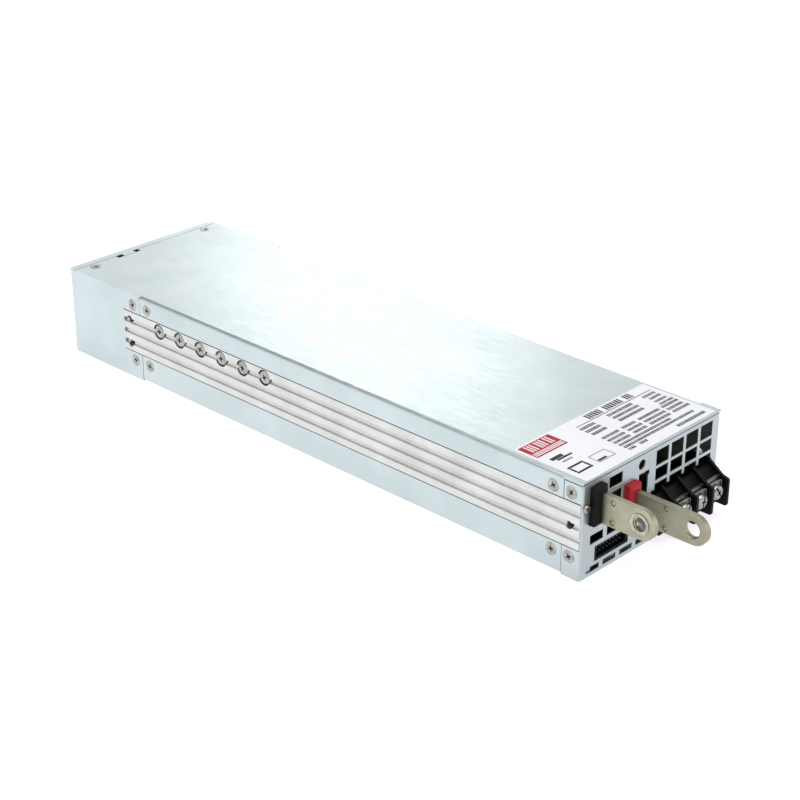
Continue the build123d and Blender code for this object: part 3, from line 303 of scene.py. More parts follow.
finishes = {
    # Electro-galvanised sheet steel: cool bright plating, faint clouds from the rolled sheet
    "zincPlatedSheet": {"light": "B4BDBE", "dark": "AAB4B5", "cloud": 26, "grain": 0.9, "drawn": (1, 0.12, 1),
                        "rough": (0.30, 0.38), "bump": 0.004, "metallic": 0.90},
    # Extruded aluminium, mill finish: neutral grey, die lines that run along the profile
    "millAluminium": {"light": "C4C3C2", "dark": "B7B6B5", "cloud": 14, "grain": 0.5, "drawn": (1, 0.02, 1),
                      "rough": (0.34, 0.46), "bump": 0.008, "metallic": 0.90},
    # Bright nickel plate on steel fasteners: neutral silver
    "brightNickel": {"light": "A8A7A3", "dark": "7D7B77", "cloud": 2.5, "grain": 0.3, "drawn": (1, 1, 1),
                     "rough": (0.20, 0.34), "bump": 0.003, "metallic": 1.0},
    # The same plate down in the driver recesses, rougher and painted dark: painted shade for the recess,
    # which traps light
    "recessPaintedShade": {"light": "4A4843", "dark": "2B2926", "cloud": 1.5, "grain": 0.3, "drawn": (1, 1, 1),
                     "rough": (0.45, 0.60), "bump": 0.004, "metallic": 0.85},
    # Nickel plate on the turned brass bush: between the silver of the screws and the olive bar
    "turnedNickel": {"light": "AFAC9B", "dark": "88846F", "cloud": 2.0, "grain": 0.3, "drawn": (1, 1, 1),
                     "rough": (0.20, 0.30), "bump": 0.003, "metallic": 1.0},
    # Matt nickel plate on stamped copper bar: olive grey, softly marbled, fine shear lines
    "mattNickelBar": {"light": "A09D8A", "dark": "908D78", "cloud": 7, "grain": 0.4, "drawn": (1, 0.15, 1),
                      "rough": (0.36, 0.48), "bump": 0.006, "metallic": 0.92},
    # Glass-filled thermoplastic, moulded black: matt with a fine spark-eroded grain
    "mouldedBlack": {"light": "0B0A0D", "dark": "050506", "cloud": 5, "grain": 0.25, "drawn": (1, 1, 1),
                     "rough": (0.42, 0.58), "bump": 0.010, "metallic": 0.0, "gloss": 0.13},
    # Nylon, moulded red: a touch of gloss on the rounded edges
    "mouldedRed": {"light": "A5141F", "dark": "8E101A", "cloud": 4, "grain": 0.25, "drawn": (1, 1, 1),
                   "rough": (0.32, 0.44), "bump": 0.008, "metallic": 0.0, "gloss": 0.25},
    # Polyester label film: satin white
    "labelFilm": {"light": "CBCBCF", "dark": "C6C7CB", "cloud": 30, "grain": 0.8, "drawn": (1, 1, 1),
                  "rough": (0.42, 0.50), "bump": 0.002, "metallic": 0.0},
    # Screen-printed inks on the film
    "blackInk": {"light": "17181B", "dark": "101113", "cloud": 1.2, "grain": 0.3, "drawn": (1, 1, 1),
                 "rough": (0.45, 0.60), "bump": 0.002, "metallic": 0.0, "gloss": 0.2},
    "redInk": {"light": "9C0F1C", "dark": "8C0C18", "cloud": 3, "grain": 0.3, "drawn": (1, 1, 1),
               "rough": (0.42, 0.55), "bump": 0.002, "metallic": 0.0, "gloss": 0.15},
    # Glass-epoxy board under green solder mask, the woven glass just felt through it
    "solderMask": {"light": "16492B", "dark": "0E341F", "cloud": 6, "grain": 0.6, "drawn": (1, 1, 1),
                   "rough": (0.28, 0.42), "bump": 0.006, "metallic": 0.0},
    # Insulating film, coloured black as painted shade: it stands in for the dark inside of the case seen
    # through the slots above it
    "paintedShadeFilm": {"light": "121214", "dark": "0A0A0C", "cloud": 12, "grain": 1.0, "drawn": (1, 1, 1),
                       "rough": (0.45, 0.60), "bump": 0.004, "metallic": 0.0, "gloss": 0.2},
    # Grey silicone rubber pads under the power devices
    "siliconePad": {"light": "7E8288", "dark": "70747A", "cloud": 6, "grain": 0.5, "drawn": (1, 1, 1),
                    "rough": (0.60, 0.72), "bump": 0.006, "metallic": 0.0},
    # Tin plate on the header pins, dull grey
    "tinnedPin": {"light": "77787A", "dark": "5A5B5D", "cloud": 1.5, "grain": 0.3, "drawn": (1, 1, 1),
                  "rough": (0.34, 0.46), "bump": 0.003, "metallic": 0.9},
    # Sintered ferrite: charcoal, dull, ground on its faces
    "groundFerrite": {"light": "34343A", "dark": "222226", "cloud": 4, "grain": 0.4, "drawn": (1, 0.2, 1),
                      "rough": (0.55, 0.70), "bump": 0.010, "metallic": 0.0},
    # Enamelled copper wire, lacquer over metal
    "enamelledCopper": {"light": "B4622C", "dark": "8E4517", "cloud": 3, "grain": 0.5, "drawn": (1, 1, 1),
                        "rough": (0.22, 0.34), "bump": 0.010, "metallic": 0.75},
    # Yellow polyester tape wound round the coil
    "windingTape": {"light": "E0B53A", "dark": "CFA02A", "cloud": 9, "grain": 1.6, "drawn": (0.2, 0.2, 3),
                    "rough": (0.30, 0.42), "bump": 0.012, "metallic": 0.0},
    # Moulded film-capacitor box, mustard yellow
    "capacitorBox": {"light": "D7A62F", "dark": "C79625", "cloud": 8, "grain": 0.4, "drawn": (1, 1, 1),
                     "rough": (0.38, 0.50), "bump": 0.008, "metallic": 0.0},
    # Shrunk vinyl sleeve on an aluminium can: dark blue-black, slightly glossy
    "shrinkSleeve": {"light": "1D2233", "dark": "131726", "cloud": 10, "grain": 1.2, "drawn": (1, 1, 0.2),
                     "rough": (0.20, 0.30), "bump": 0.006, "metallic": 0.0},
    # Dark thermoset trimmer housing, which reads black through its hole
    "trimmerHousing": {"light": "1B1E28", "dark": "12141C", "cloud": 3, "grain": 0.3, "drawn": (1, 1, 1),
                       "rough": (0.36, 0.48), "bump": 0.006, "metallic": 0.0, "gloss": 0.3},
    # Smoke-tinted epoxy lamp lens, unlit
    "lampLens": {"light": "4B524C", "dark": "3A413B", "cloud": 2, "grain": 0.4, "drawn": (1, 1, 1),
                 "rough": (0.12, 0.20), "bump": 0.001, "metallic": 0.0},
    # Glazed ceramic fuse tube
    "fuseCeramic": {"light": "EDEAE0", "dark": "DEDACE", "cloud": 4, "grain": 0.6, "drawn": (1, 1, 1),
                    "rough": (0.18, 0.28), "bump": 0.003, "metallic": 0.0},
    # Drawn brass, lightly dulled
    "drawnBrass": {"light": "D8B46A", "dark": "C09A4E", "cloud": 2, "grain": 0.3, "drawn": (1, 0.1, 1),
                   "rough": (0.26, 0.38), "bump": 0.004, "metallic": 1.0},
}


def makeFinish(name, finish):
    material = bpy.data.materials.new(name)
    material.use_nodes = True
    tree = material.node_tree
    tree.nodes.clear()
    coords = addNode(tree, "ShaderNodeTexCoord")
    drawn = addNode(tree, "ShaderNodeMapping", {"Scale": finish["drawn"]},
                    {"Vector": coords.outputs["Object"]})
    clouds = addNode(tree, "ShaderNodeTexNoise",
                     {"Scale": 1000 / finish["cloud"], "Detail": 3.0, "Roughness": 0.55},
                     {"Vector": coords.outputs["Object"]})
    grain = addNode(tree, "ShaderNodeTexNoise",
                    {"Scale": 1000 / finish["grain"], "Detail": 2.0, "Roughness": 0.6},
                    {"Vector": drawn.outputs["Vector"]})
    darkAt, lightAt = noiseSettings["cloudShades"]
    colour = addNode(tree, "ShaderNodeValToRGB",
                     {"stops": [(darkAt, hexColour(finish["dark"])), (lightAt, hexColour(finish["light"]))]},
                     {"Fac": clouds.outputs["Fac"]})
    least, most = noiseSettings["grainRange"]
    smoothest, roughest = finish["rough"]
    roughness = addNode(tree, "ShaderNodeMapRange",
                        {"From Min": least, "From Max": most, "To Min": smoothest, "To Max": roughest},
                        {"Value": grain.outputs["Fac"]})
    bump = addNode(tree, "ShaderNodeBump",
                   {"Strength": noiseSettings["bumpStrength"], "Distance": finish["bump"] * mm},
                   {"Height": grain.outputs["Fac"]})
    gloss = finish.get("gloss", noiseSettings["usualGloss"])
    surface = addNode(tree, "ShaderNodeBsdfPrincipled",
                      {"Metallic": finish["metallic"], "Specular IOR Level": gloss},
                      {"Base Color": colour.outputs["Color"], "Roughness": roughness.outputs["Result"],
                       "Normal": bump.outputs["Normal"]})
    addNode(tree, "ShaderNodeOutputMaterial", None, {"Surface": surface.outputs["BSDF"]})
    return material


materials = {name: makeFinish(name, finish) for name, finish in finishes.items()}
print("materials ready")


# What every CAD node wears, also the ones inside that only show through the grilles

nodeFinishes = {
    "zincPlatedSheet": ["top_cover", "bottom_plate", "rear_housing", "front_panel"],
    "millAluminium": ["left_heatsink", "right_heatsink"],
    "brightNickel": ["case_side_screws", "case_top_screws", "device_screws", "device_nuts", "panel_end_screw",
                     "bar_insert", "ac_contact_1", "ac_contact_2", "ac_contact_3", "ac_clamp_1", "ac_clamp_2",
                     "ac_clamp_3", "ac_screw_1", "ac_screw_2", "ac_screw_3", "board_screws", "fan_screws"],
    "mattNickelBar": ["output_bar_left", "output_bar_right"],
    "mouldedBlack": ["black_collar", "ac_terminal_block", "signal_header", "aux_header", "inrush_relay",
                     "bridge_rectifier", "left_transistors", "right_transistors", "fan_frame_left",
                     "fan_frame_right", "fan_rotor_left", "fan_rotor_right"],
    "mouldedRed": ["red_collar"],
    "labelFilm": ["rating_label"],
    "solderMask": ["main_board", "control_board"],
    "paintedShadeFilm": ["insulation_sheet"],
    "siliconePad": ["insulator_pads"],
    "tinnedPin": ["signal_pins", "aux_pins"],
    "groundFerrite": ["transformer_core"],
    "enamelledCopper": ["emi_choke", "pfc_inductor", "output_choke", "fan_stators"],
    "windingTape": ["transformer_winding"],
    "capacitorBox": ["x_capacitor"],
    "shrinkSleeve": ["bulk_capacitor_left", "bulk_capacitor_right", "output_capacitors"],
    "trimmerHousing": ["trimmer_body"],
    "lampLens": ["status_led"],
    "fuseCeramic": ["input_fuse"],
    "drawnBrass": ["trimmer_rotor", "board_standoffs"],
}
for finishName, nodeNames in nodeFinishes.items():
    for nodeName in nodeNames:
        dress(nodes[nodeName], materials[finishName])


# Sheet metal, extrusions and mouldings: the solid's own shape with its edges broken

narrowEdge = 0.15  # mm; a bevel under this is clamped

softEdges = {
    # node: (new piece, material, slot, edge width in mm, segments)
    # the first four have short edges, where a wide bevel would fold over itself
    "rear_housing": ("fanHousing", "zincPlatedSheet", "zinc_steel", 0.12, 2),
    "left_heatsink": ("leftExtrusion", "millAluminium", "sink_aluminium", 0.12, 2),
    "right_heatsink": ("rightExtrusion", "millAluminium", "sink_aluminium", 0.12, 2),
    "top_cover": ("coverSheet", "zincPlatedSheet", "zinc_steel", 0.12, 2),
    "bottom_plate": ("floorSheet", "zincPlatedSheet", "zinc_steel", 0.18, 2),
    "front_panel": ("terminalPanel", "zincPlatedSheet", "zinc_steel", 0.18, 2),
    "output_bar_left": ("leftBar", "mattNickelBar", "bar_nickel", 0.22, 3),
    "output_bar_right": ("rightBar", "mattNickelBar", "bar_nickel", 0.22, 3),
    "black_collar": ("blackCollar", "mouldedBlack", "black_plastic", 0.25, 3),
    "red_collar": ("redCollar", "mouldedRed", "red_plastic", 0.25, 3),
    "ac_terminal_block": ("terminalBlock", "mouldedBlack", "black_plastic", 0.22, 3),
    "signal_header": ("signalHeader", "mouldedBlack", "black_plastic", 0.12, 2),
    "aux_header": ("adjusterHeader", "mouldedBlack", "black_plastic", 0.12, 2),
}


def softened(nodeName, pieceName, materialName, slot, width, segments):
    source = nodes[nodeName]
    piece = bpy.data.objects.new(pieceName, source.data.copy())
    bpy.context.scene.collection.objects.link(piece)
    editMode(piece)
    bpy.ops.mesh.select_all(action="SELECT")
    bpy.ops.mesh.remove_doubles(threshold=0.002 * mm)
    bpy.ops.mesh.dissolve_limited(angle_limit=math.radians(0.6))
    objectMode()
    applyModifier(piece, "BEVEL", {"width": width * mm, "segments": segments, "limit_method": "ANGLE",
                                   "angle_limit": math.radians(32), "use_clamp_overlap": width < narrowEdge,
                                   "harden_normals": False})
    smoothByAngle(piece, 34)
    # large faces keep their own normal, so that a bend doesn't shade the flat sheet beside it
    applyModifier(piece, "WEIGHTED_NORMAL", {"mode": "FACE_AREA", "weight": 50, "keep_sharp": True})
    piece.name = pieceName
    return finishPiece(piece, materials[materialName], "case", slot, nodeName)


for nodeName, choice in softEdges.items():
    softened(nodeName, *choice)
print("case, bars and mouldings ready")


# Screws

screwSizes = {
    "flatHead": {"headRadius": 2.68, "headDrop": 1.18, "shankRadius": 1.45, "length": 3.5, "recess": 1.65,
                 "recessDepth": 0.95},
    "fanHead": {"headRadius": 2.68, "headDrop": 1.18, "shankRadius": 1.45, "length": 5.9, "recess": 1.65,
                "recessDepth": 0.95},
    "topHead": {"headRadius": 2.68, "headDrop": 1.18, "shankRadius": 1.45, "length": 1.7, "recess": 1.55,
                "recessDepth": 0.90},
    "devicePan": {"headRadius": 3.25, "headHeight": 1.88, "shankRadius": 1.4, "length": 9.9, "recess": 1.75,
                  "recessDepth": 1.15},
    "endPan": {"headRadius": 1.67, "headHeight": 1.38, "shankRadius": 1.15, "length": 7.9, "recess": 1.1,
               "recessDepth": 0.9},
    "terminalPan": {"headRadius": 3.08, "headHeight": 2.28, "shankRadius": 1.88, "length": 8.9, "recess": 1.9,
                    "recessDepth": 1.35},
}
screwShape = {
    "rimTop": -0.02,  # a flat head sits this far below the sheet
    "rimHeight": 0.12,
    "pillar": 0.55,  # share of a pan head's height that is upright, the rest is its dome
    "domeSteps": ((0.25, 0.93), (0.14, 0.88), (0.06, 0.80)),  # rise as a share of the height, narrowing
    "armWidth": 0.50,  # width of a recess arm as a share of its reach
    "slotWidth": 0.42,
    "recessTaper": 0.42,
    "edge": 0.07,
}


def crossCutter(reach, depth, top, slotted=False):
    deselectAll()
    bpy.ops.mesh.primitive_cube_add(size=1)
    cutter = newPiece("crossCutter")
    editMode(cutter)
    bpy.ops.mesh.select_all(action="SELECT")
    bpy.ops.transform.resize(value=(2 * reach * mm, screwShape["armWidth"] * reach * mm, 2 * depth * mm))
    selectFaces(cutter, lambda centre, normal: normal.z < -0.5)
    taper = screwShape["recessTaper"]  # the recess narrows towards its floor
    bpy.ops.transform.resize(value=(taper, taper, 1))
    bpy.ops.mesh.select_all(action="SELECT")
    bpy.ops.mesh.duplicate()
    bpy.ops.transform.rotate(value=math.radians(90), orient_axis="Z", center_override=(0, 0, 0))
    if slotted:  # a plain slot across the whole head as well
        bpy.ops.mesh.primitive_cube_add(size=1)
        bpy.ops.transform.resize(value=(4 * reach * mm, screwShape["slotWidth"] * reach * mm, depth * mm))
    bpy.ops.mesh.select_all(action="SELECT")
    bpy.ops.transform.translate(value=(0, 0, top * mm))
    objectMode()
    return cutter


def cutCross(screw, reach, depth, top, slotted=False):
    dress(screw, materials["brightNickel"])
    cutter = crossCutter(reach, depth, top, slotted)
    # the cutter's faces carry the painted shade into the recess they leave
    dress(cutter, materials["recessPaintedShade"])
    applyModifier(screw, "BOOLEAN", {"operation": "DIFFERENCE", "object": cutter, "solver": "EXACT",
                                     "use_self": True, "material_mode": "TRANSFER"})
    bpy.data.objects.remove(cutter)
    applyModifier(screw, "BEVEL", {"width": screwShape["edge"] * mm, "segments": 2, "limit_method": "ANGLE",
                                   "angle_limit": math.radians(38), "use_clamp_overlap": True})
    smoothByAngle(screw, 32)


def flatHeadScrew(name, size):
    rim, rimTop = screwShape["rimHeight"], screwShape["rimTop"]
    deselectAll()
    bpy.ops.mesh.primitive_cylinder_add(vertices=32, radius=size["headRadius"] * mm, depth=rim * mm,
                                        location=(0, 0, (rimTop - rim / 2) * mm))
    screw = newPiece(name)
    place(screw)
    editMode(screw)
    selectFaces(screw, lambda centre, normal: normal.z < -0.5)
    neck = size["shankRadius"] / size["headRadius"]
    bpy.ops.mesh.extrude_region_move(
        TRANSFORM_OT_translate={"value": (0, 0, -(size["headDrop"] - rim + rimTop) * mm)})
    bpy.ops.transform.resize(value=(neck, neck, 1))
    bpy.ops.mesh.extrude_region_move(
        TRANSFORM_OT_translate={"value": (0, 0, -(size["length"] - size["headDrop"]) * mm)})
    objectMode()
    cutCross(screw, size["recess"], size["recessDepth"], rimTop)
    return screw


def panHeadScrew(name, size, slotted=False):
    height = size["headHeight"]
    pillar = screwShape["pillar"] * height * mm
    deselectAll()
    bpy.ops.mesh.primitive_cylinder_add(vertices=32, radius=size["headRadius"] * mm, depth=pillar,
                                        location=(0, 0, pillar / 2))
    screw = newPiece(name)
    place(screw)
    editMode(screw)
    for rise, narrow in screwShape["domeSteps"]:
        selectFaces(screw, lambda centre, normal: normal.z > 0.99)
        bpy.ops.mesh.extrude_region_move(TRANSFORM_OT_translate={"value": (0, 0, rise * height * mm)})
        bpy.ops.transform.resize(value=(narrow, narrow, 1))
    selectFaces(screw, lambda centre, normal: normal.z < -0.5)
    bpy.ops.mesh.inset(thickness=(size["headRadius"] - size["shankRadius"]) * mm)
    bpy.ops.mesh.extrude_region_move(TRANSFORM_OT_translate={"value": (0, 0, -size["length"] * mm)})
    objectMode()
    cutCross(screw, size["recess"], size["recessDepth"], height, slotted)
    return screw


def turned():
    return random.uniform(0, math.pi)


# Where the screws sit, in mm. Those that repeat left and right have their places on one side
screwPlaces = {
    "sideX": 42.5, "sideY": (-144.6, -136.1, 95.6, 105.3), "sideZ": (35.7, 8.9),
    "topX": 33.1, "topY": 142.8, "topZ": 41.0,
    "deviceX": 40.5, "deviceFirstY": 19.6, "devicePitch": 13.6, "deviceCount": 6, "deviceZ": 28.0,
    "panelEnd": (-40.6, -150.0, 30.4), "panelEndTurn": 0.4,
    "fanX": 19.4, "fanY": 150.0, "fanZ": 20.1, "fanCorner": 16.0,
    "poleX": (32.175, 21.925, 11.675), "poleY": -156.9, "poleZ": 11.5,
}
bothSides = (-1, 1)


def screwSet(name, master, places, node, body="case"):
    finishPiece(copiesOf(master, name, places), None, body, "nickel", node)


at = screwPlaces
sideScrew = flatHeadScrew("sideScrewMaster", screwSizes["flatHead"])
sideSpots = [(side * at["sideX"], y, z) for side in bothSides for y in at["sideY"] for z in at["sideZ"]]
screwSet("sideScrews", sideScrew, [sideways(*spot, turned()) for spot in sideSpots], "case_side_screws")

topScrew = flatHeadScrew("topScrewMaster", screwSizes["topHead"])
topSpots = [(side * at["topX"], at["topY"], at["topZ"]) for side in bothSides]
screwSet("topScrews", topScrew, [facingUp(*spot) for spot in topSpots], "case_top_screws")

deviceScrew = panHeadScrew("deviceScrewMaster", screwSizes["devicePan"])
deviceSpots = [(side * at["deviceX"], at["deviceFirstY"] + at["devicePitch"] * n, at["deviceZ"])
               for side in bothSides for n in range(at["deviceCount"])]
screwSet("deviceScrews", deviceScrew, [sideways(*spot, turned()) for spot in deviceSpots], "device_screws")

endScrew = panHeadScrew("endScrewMaster", screwSizes["endPan"])
screwSet("panelEndScrew", endScrew, [facingFront(*at["panelEnd"], at["panelEndTurn"])], "panel_end_screw")

fanScrew = flatHeadScrew("fanScrewMaster", screwSizes["fanHead"])
fanSpots = [(side * at["fanX"] + across * at["fanCorner"], at["fanY"], at["fanZ"] + up * at["fanCorner"])
            for side in bothSides for across in bothSides for up in bothSides]
screwSet("fanScrews", fanScrew, [facingRear(*spot, turned()) for spot in fanSpots], "fan_screws")

terminalScrew = panHeadScrew("terminalScrewMaster", screwSizes["terminalPan"], slotted=True)
for number, x in enumerate(at["poleX"], start=1):
    spot = facingFront(x, at["poleY"], at["poleZ"], turned())
    screwSet(f"terminalScrew{number}", terminalScrew, [spot], f"ac_screw_{number}", f"ac_pole_{number}")

for master in (sideScrew, topScrew, deviceScrew, endScrew, fanScrew, terminalScrew):
    bpy.data.objects.remove(master)
print("screws ready")


# Wire clamps under the terminal screws: a square plate, its two sides turned up, grooved to grip the wire

clamp = {
    "width": 7.2,
    "height": 8.0,
    "thickness": 0.78,
    "frontY": screwPlaces["poleY"],
    "screwZ": screwPlaces["poleZ"],
    "holeRadius": 1.98,
    "lip": 0.5,  # width of the turned-up sides
    "lipReach": 0.75,
    "grooves": (2.45, 3.05),  # heights of the wire grooves above and below the screw
    "grooveWidth": 0.28,
    "grooveDepth": 0.2,
    "edge": 0.1,
}


def makeClamp(name, x):
    deselectAll()
    middle = (x * mm, (clamp["frontY"] + clamp["thickness"] / 2) * mm, clamp["screwZ"] * mm)
    bpy.ops.mesh.primitive_cube_add(size=1, location=middle)
    plate = newPiece(name)
    plate.scale = (clamp["width"] * mm, clamp["thickness"] * mm, clamp["height"] * mm)
    place(plate)
    editMode(plate)
    lipAt = (clamp["width"] / 2 - clamp["lip"]) * mm
    for side in (-1, 1):
        bpy.ops.mesh.select_all(action="SELECT")
        bpy.ops.mesh.bisect(plane_co=((x * mm) + side * lipAt, 0, 0), plane_no=(1, 0, 0))
    selectFaces(plate, lambda centre, normal: normal.y < -0.5 and abs(centre.x - x * mm) > lipAt)
    bpy.ops.mesh.extrude_region_move(TRANSFORM_OT_translate={"value": (0, -clamp["lipReach"] * mm, 0)})
    for side in (-1, 1):
        for level in clamp["grooves"]:
            for edge in (level, level + clamp["grooveWidth"]):
                bpy.ops.mesh.select_all(action="SELECT")
                bpy.ops.mesh.bisect(plane_co=(0, 0, (clamp["screwZ"] + side * edge) * mm), plane_no=(0, 0, 1))
    for level in clamp["grooves"]:
        middleOf = (level + clamp["grooveWidth"] / 2) * mm
        selectFaces(plate, lambda centre, normal: normal.y < -0.5 and abs(centre.x - x * mm) < lipAt / 2
                    and abs(abs(centre.z - clamp["screwZ"] * mm) - middleOf) < 0.02 * mm)
        bpy.ops.mesh.extrude_region_move(TRANSFORM_OT_translate={"value": (0, clamp["grooveDepth"] * mm, 0)})
    objectMode()
    bpy.ops.mesh.primitive_cylinder_add(vertices=32, radius=clamp["holeRadius"] * mm, depth=4 * mm,
                                        location=middle, rotation=(math.radians(90), 0, 0))
    drill = newPiece("clampDrill")
    applyModifier(plate, "BOOLEAN", {"operation": "DIFFERENCE", "object": drill, "solver": "EXACT"})
    bpy.data.objects.remove(drill)
    applyModifier(plate, "BEVEL", {"width": clamp["edge"] * mm, "segments": 2, "limit_method": "ANGLE",
                                   "angle_limit": math.radians(35), "use_clamp_overlap": True})
    smoothByAngle(plate)
    return plate


for number, x in enumerate(screwPlaces["poleX"], start=1):
    plate = makeClamp(f"wireClamp{number}", x)
    finishPiece(plate, materials["brightNickel"], f"ac_pole_{number}", "nickel", f"ac_clamp_{number}")
print("terminals ready")


# Threaded bush in the shorter bar

bush = {
    "x": -34.5,  # outer face of the bar
    "y": -169.65,
    "z": 29.05,
    "bore": 2.8,
    "barrel": 3.78,
    "rim": 4.35,
    "rimHeight": 0.45,
    "length": 2.5,
    "pitch": 1.0,
    "threadDepth": 0.42,
    "threadWidth": 0.55,  # mm, at a pitch of 1
    "threadStart": 0.3,
    "turns": 1.7,
    "chamfer": 0.25,
    "leadIn": 0.45,
}


def makeBush():
    deselectAll()
    bpy.ops.mesh.primitive_circle_add(vertices=48, radius=bush["bore"] * mm, fill_type="NOTHING")
    ring = newPiece("barBush")
    editMode(ring)
    bpy.ops.mesh.select_mode(type="EDGE")
    bpy.ops.mesh.select_all(action="SELECT")
    # the section is walked round: bore, back face, barrel, under the rim, rim, front face
    section = [(bush["barrel"], bush["length"]), (bush["barrel"], 0), (bush["rim"], 0),
               (bush["rim"], -0.7 * bush["rimHeight"]), (bush["rim"] - bush["chamfer"], -bush["rimHeight"]),
               (bush["bore"] + bush["leadIn"], -bush["rimHeight"]), (bush["bore"], -0.3 * bush["rimHeight"])]
    bpy.ops.transform.translate(value=(0, 0, bush["length"] * mm))
    radius, height = bush["bore"], bush["length"]
    for nextRadius, nextHeight in section:
        bpy.ops.mesh.extrude_region_move(
            TRANSFORM_OT_translate={"value": (0, 0, (nextHeight - height) * mm)})
        scale = nextRadius / radius
        bpy.ops.transform.resize(value=(scale, scale, 1))
        radius, height = nextRadius, nextHeight
    bpy.ops.mesh.extrude_region_move(TRANSFORM_OT_translate={"value": (0, 0, (bush["length"] - height) * mm)})
    bpy.ops.mesh.select_all(action="SELECT")
    bpy.ops.mesh.remove_doubles(threshold=0.01 * mm)
    bpy.ops.mesh.normals_make_consistent(inside=False)
    objectMode()
    return ring


def makeThread():
    deselectAll()
    bpy.ops.mesh.primitive_plane_add(size=1)
    ridge = newPiece("bushThread")
    editMode(ridge)
    bpy.ops.mesh.select_all(action="SELECT")
    bpy.ops.transform.resize(value=(bush["threadDepth"] * mm, bush["threadWidth"] * bush["pitch"] * mm, 1))
    bpy.ops.transform.rotate(value=math.radians(90), orient_axis="X", center_override=(0, 0, 0))
    inward = bush["bore"] - 0.3 * bush["threadDepth"]  # most of the ridge stands in the bore's wall
    bpy.ops.transform.translate(value=(inward * mm, 0, bush["threadStart"] * mm))
    bpy.ops.mesh.delete(type="ONLY_FACE")
    objectMode()
    applyModifier(ridge, "SCREW", {"axis": "Z", "screw_offset": bush["pitch"] * bush["turns"] * mm,
                                   "angle": 2 * math.pi * bush["turns"], "steps": 72, "render_steps": 72})
    editMode(ridge)
    bpy.ops.mesh.select_mode(type="EDGE")
    bpy.ops.mesh.select_all(action="DESELECT")
    bpy.ops.mesh.select_non_manifold()
    bpy.ops.mesh.edge_face_add()
    bpy.ops.mesh.select_all(action="SELECT")
    bpy.ops.mesh.normals_make_consistent(inside=False)
    objectMode()
    return ridge


bushRing = makeBush()
bushThread = makeThread()
pickOnly(bushRing, bushThread)
bpy.ops.object.join()
barBush = newPiece("barBush")
barBush.data.transform(pointing(bush["x"], bush["y"], bush["z"], 90, "Y", 0))
smoothByAngle(barBush, 40)
finishPiece(barBush, materials["turnedNickel"], "case", "nickel", "bar_insert")
print("bush ready")


# Stakes that hold the bars to their studs: a punched dimple with a raised rim and a domed end in it

stake = {
    "dome": 0.8,
    "dimple": 1.08,
    "rim": 1.5,
    "rimHeight": 0.16,
    "places": [(-34.5, -157.8, 33.15), (-34.5, -157.8, 24.95), (-13.8, -166.4, 25.8), (-13.8, -166.4, 17.6)],
}


def makeStake():
    deselectAll()
    bpy.ops.mesh.primitive_cylinder_add(vertices=20, radius=stake["dome"] * mm, depth=0.3 * mm,
                                        location=(0, 0, -0.2 * mm))
    dome = newPiece("stakeMaster")
    place(dome)
    editMode(dome)
    for narrow, rise in ((0.88, 0.1), (0.7, 0.05)):
        selectFaces(dome, lambda centre, normal: normal.z > 0.9)
        bpy.ops.mesh.extrude_region_move(TRANSFORM_OT_translate={"value": (0, 0, rise * mm)})
        bpy.ops.transform.resize(value=(narrow, narrow, 1))
    bpy.ops.mesh.select_mode(type="EDGE")
    bpy.ops.mesh.select_all(action="DESELECT")
    bpy.ops.mesh.primitive_circle_add(vertices=24, radius=stake["dimple"] * mm, fill_type="NOTHING",
                                      location=(0, 0, -0.2 * mm))
    radius, height = stake["dimple"], -0.2
    section = [(stake["dimple"], 0.04), (stake["dimple"] + 0.12, stake["rimHeight"]),
               (stake["rim"] - 0.14, 0.8 * stake["rimHeight"]), (stake["rim"], -0.02)]
    for nextRadius, nextHeight in section:  # the rim thrown up round the punch
        bpy.ops.mesh.extrude_region_move(TRANSFORM_OT_translate={"value": (0, 0, (nextHeight - height) * mm)})
        bpy.ops.transform.resize(value=(nextRadius / radius, nextRadius / radius, 1))
        radius, height = nextRadius, nextHeight
    objectMode()
    smoothByAngle(dome, 40)
    return dome


stakeMaster = makeStake()
barStakes = copiesOf(stakeMaster, "barStakes", [sideways(*spot) for spot in stake["places"]])
bpy.data.objects.remove(stakeMaster)
finishPiece(barStakes, materials["mattNickelBar"], "case", "bar_nickel")
print("stakes ready")


# Rating label: white film with rounded corners and a generic layout, nothing that reads as words

label = {
    "width": 79.6,
    "length": 35.3,
    "frontY": -149.4,
    "corner": 0.8,
    "filmTop": 41.10,
    "inkTop": 41.115,
    "under": 41.0,
}


def makeFilm():
    deselectAll()
    bpy.ops.mesh.primitive_plane_add(size=1, location=(0, (label["frontY"] + label["length"] / 2) * mm,
                                                       label["under"] * mm))
    film = newPiece("labelFilm")
    film.scale = (label["width"] * mm, label["length"] * mm, 1)
    place(film)
    editMode(film)
    bpy.ops.mesh.select_mode(type="VERT")
    bpy.ops.mesh.select_all(action="SELECT")
    bpy.ops.mesh.bevel(offset=label["corner"] * mm, segments=5, affect="VERTICES")
    bpy.ops.mesh.select_mode(type="FACE")
    bpy.ops.mesh.select_all(action="SELECT")
    bpy.ops.mesh.extrude_region_move(
        TRANSFORM_OT_translate={"value": (0, 0, (label["filmTop"] - label["under"]) * mm)})
    bpy.ops.mesh.select_all(action="SELECT")
    bpy.ops.mesh.normals_make_consistent(inside=False)
    objectMode()
    return film


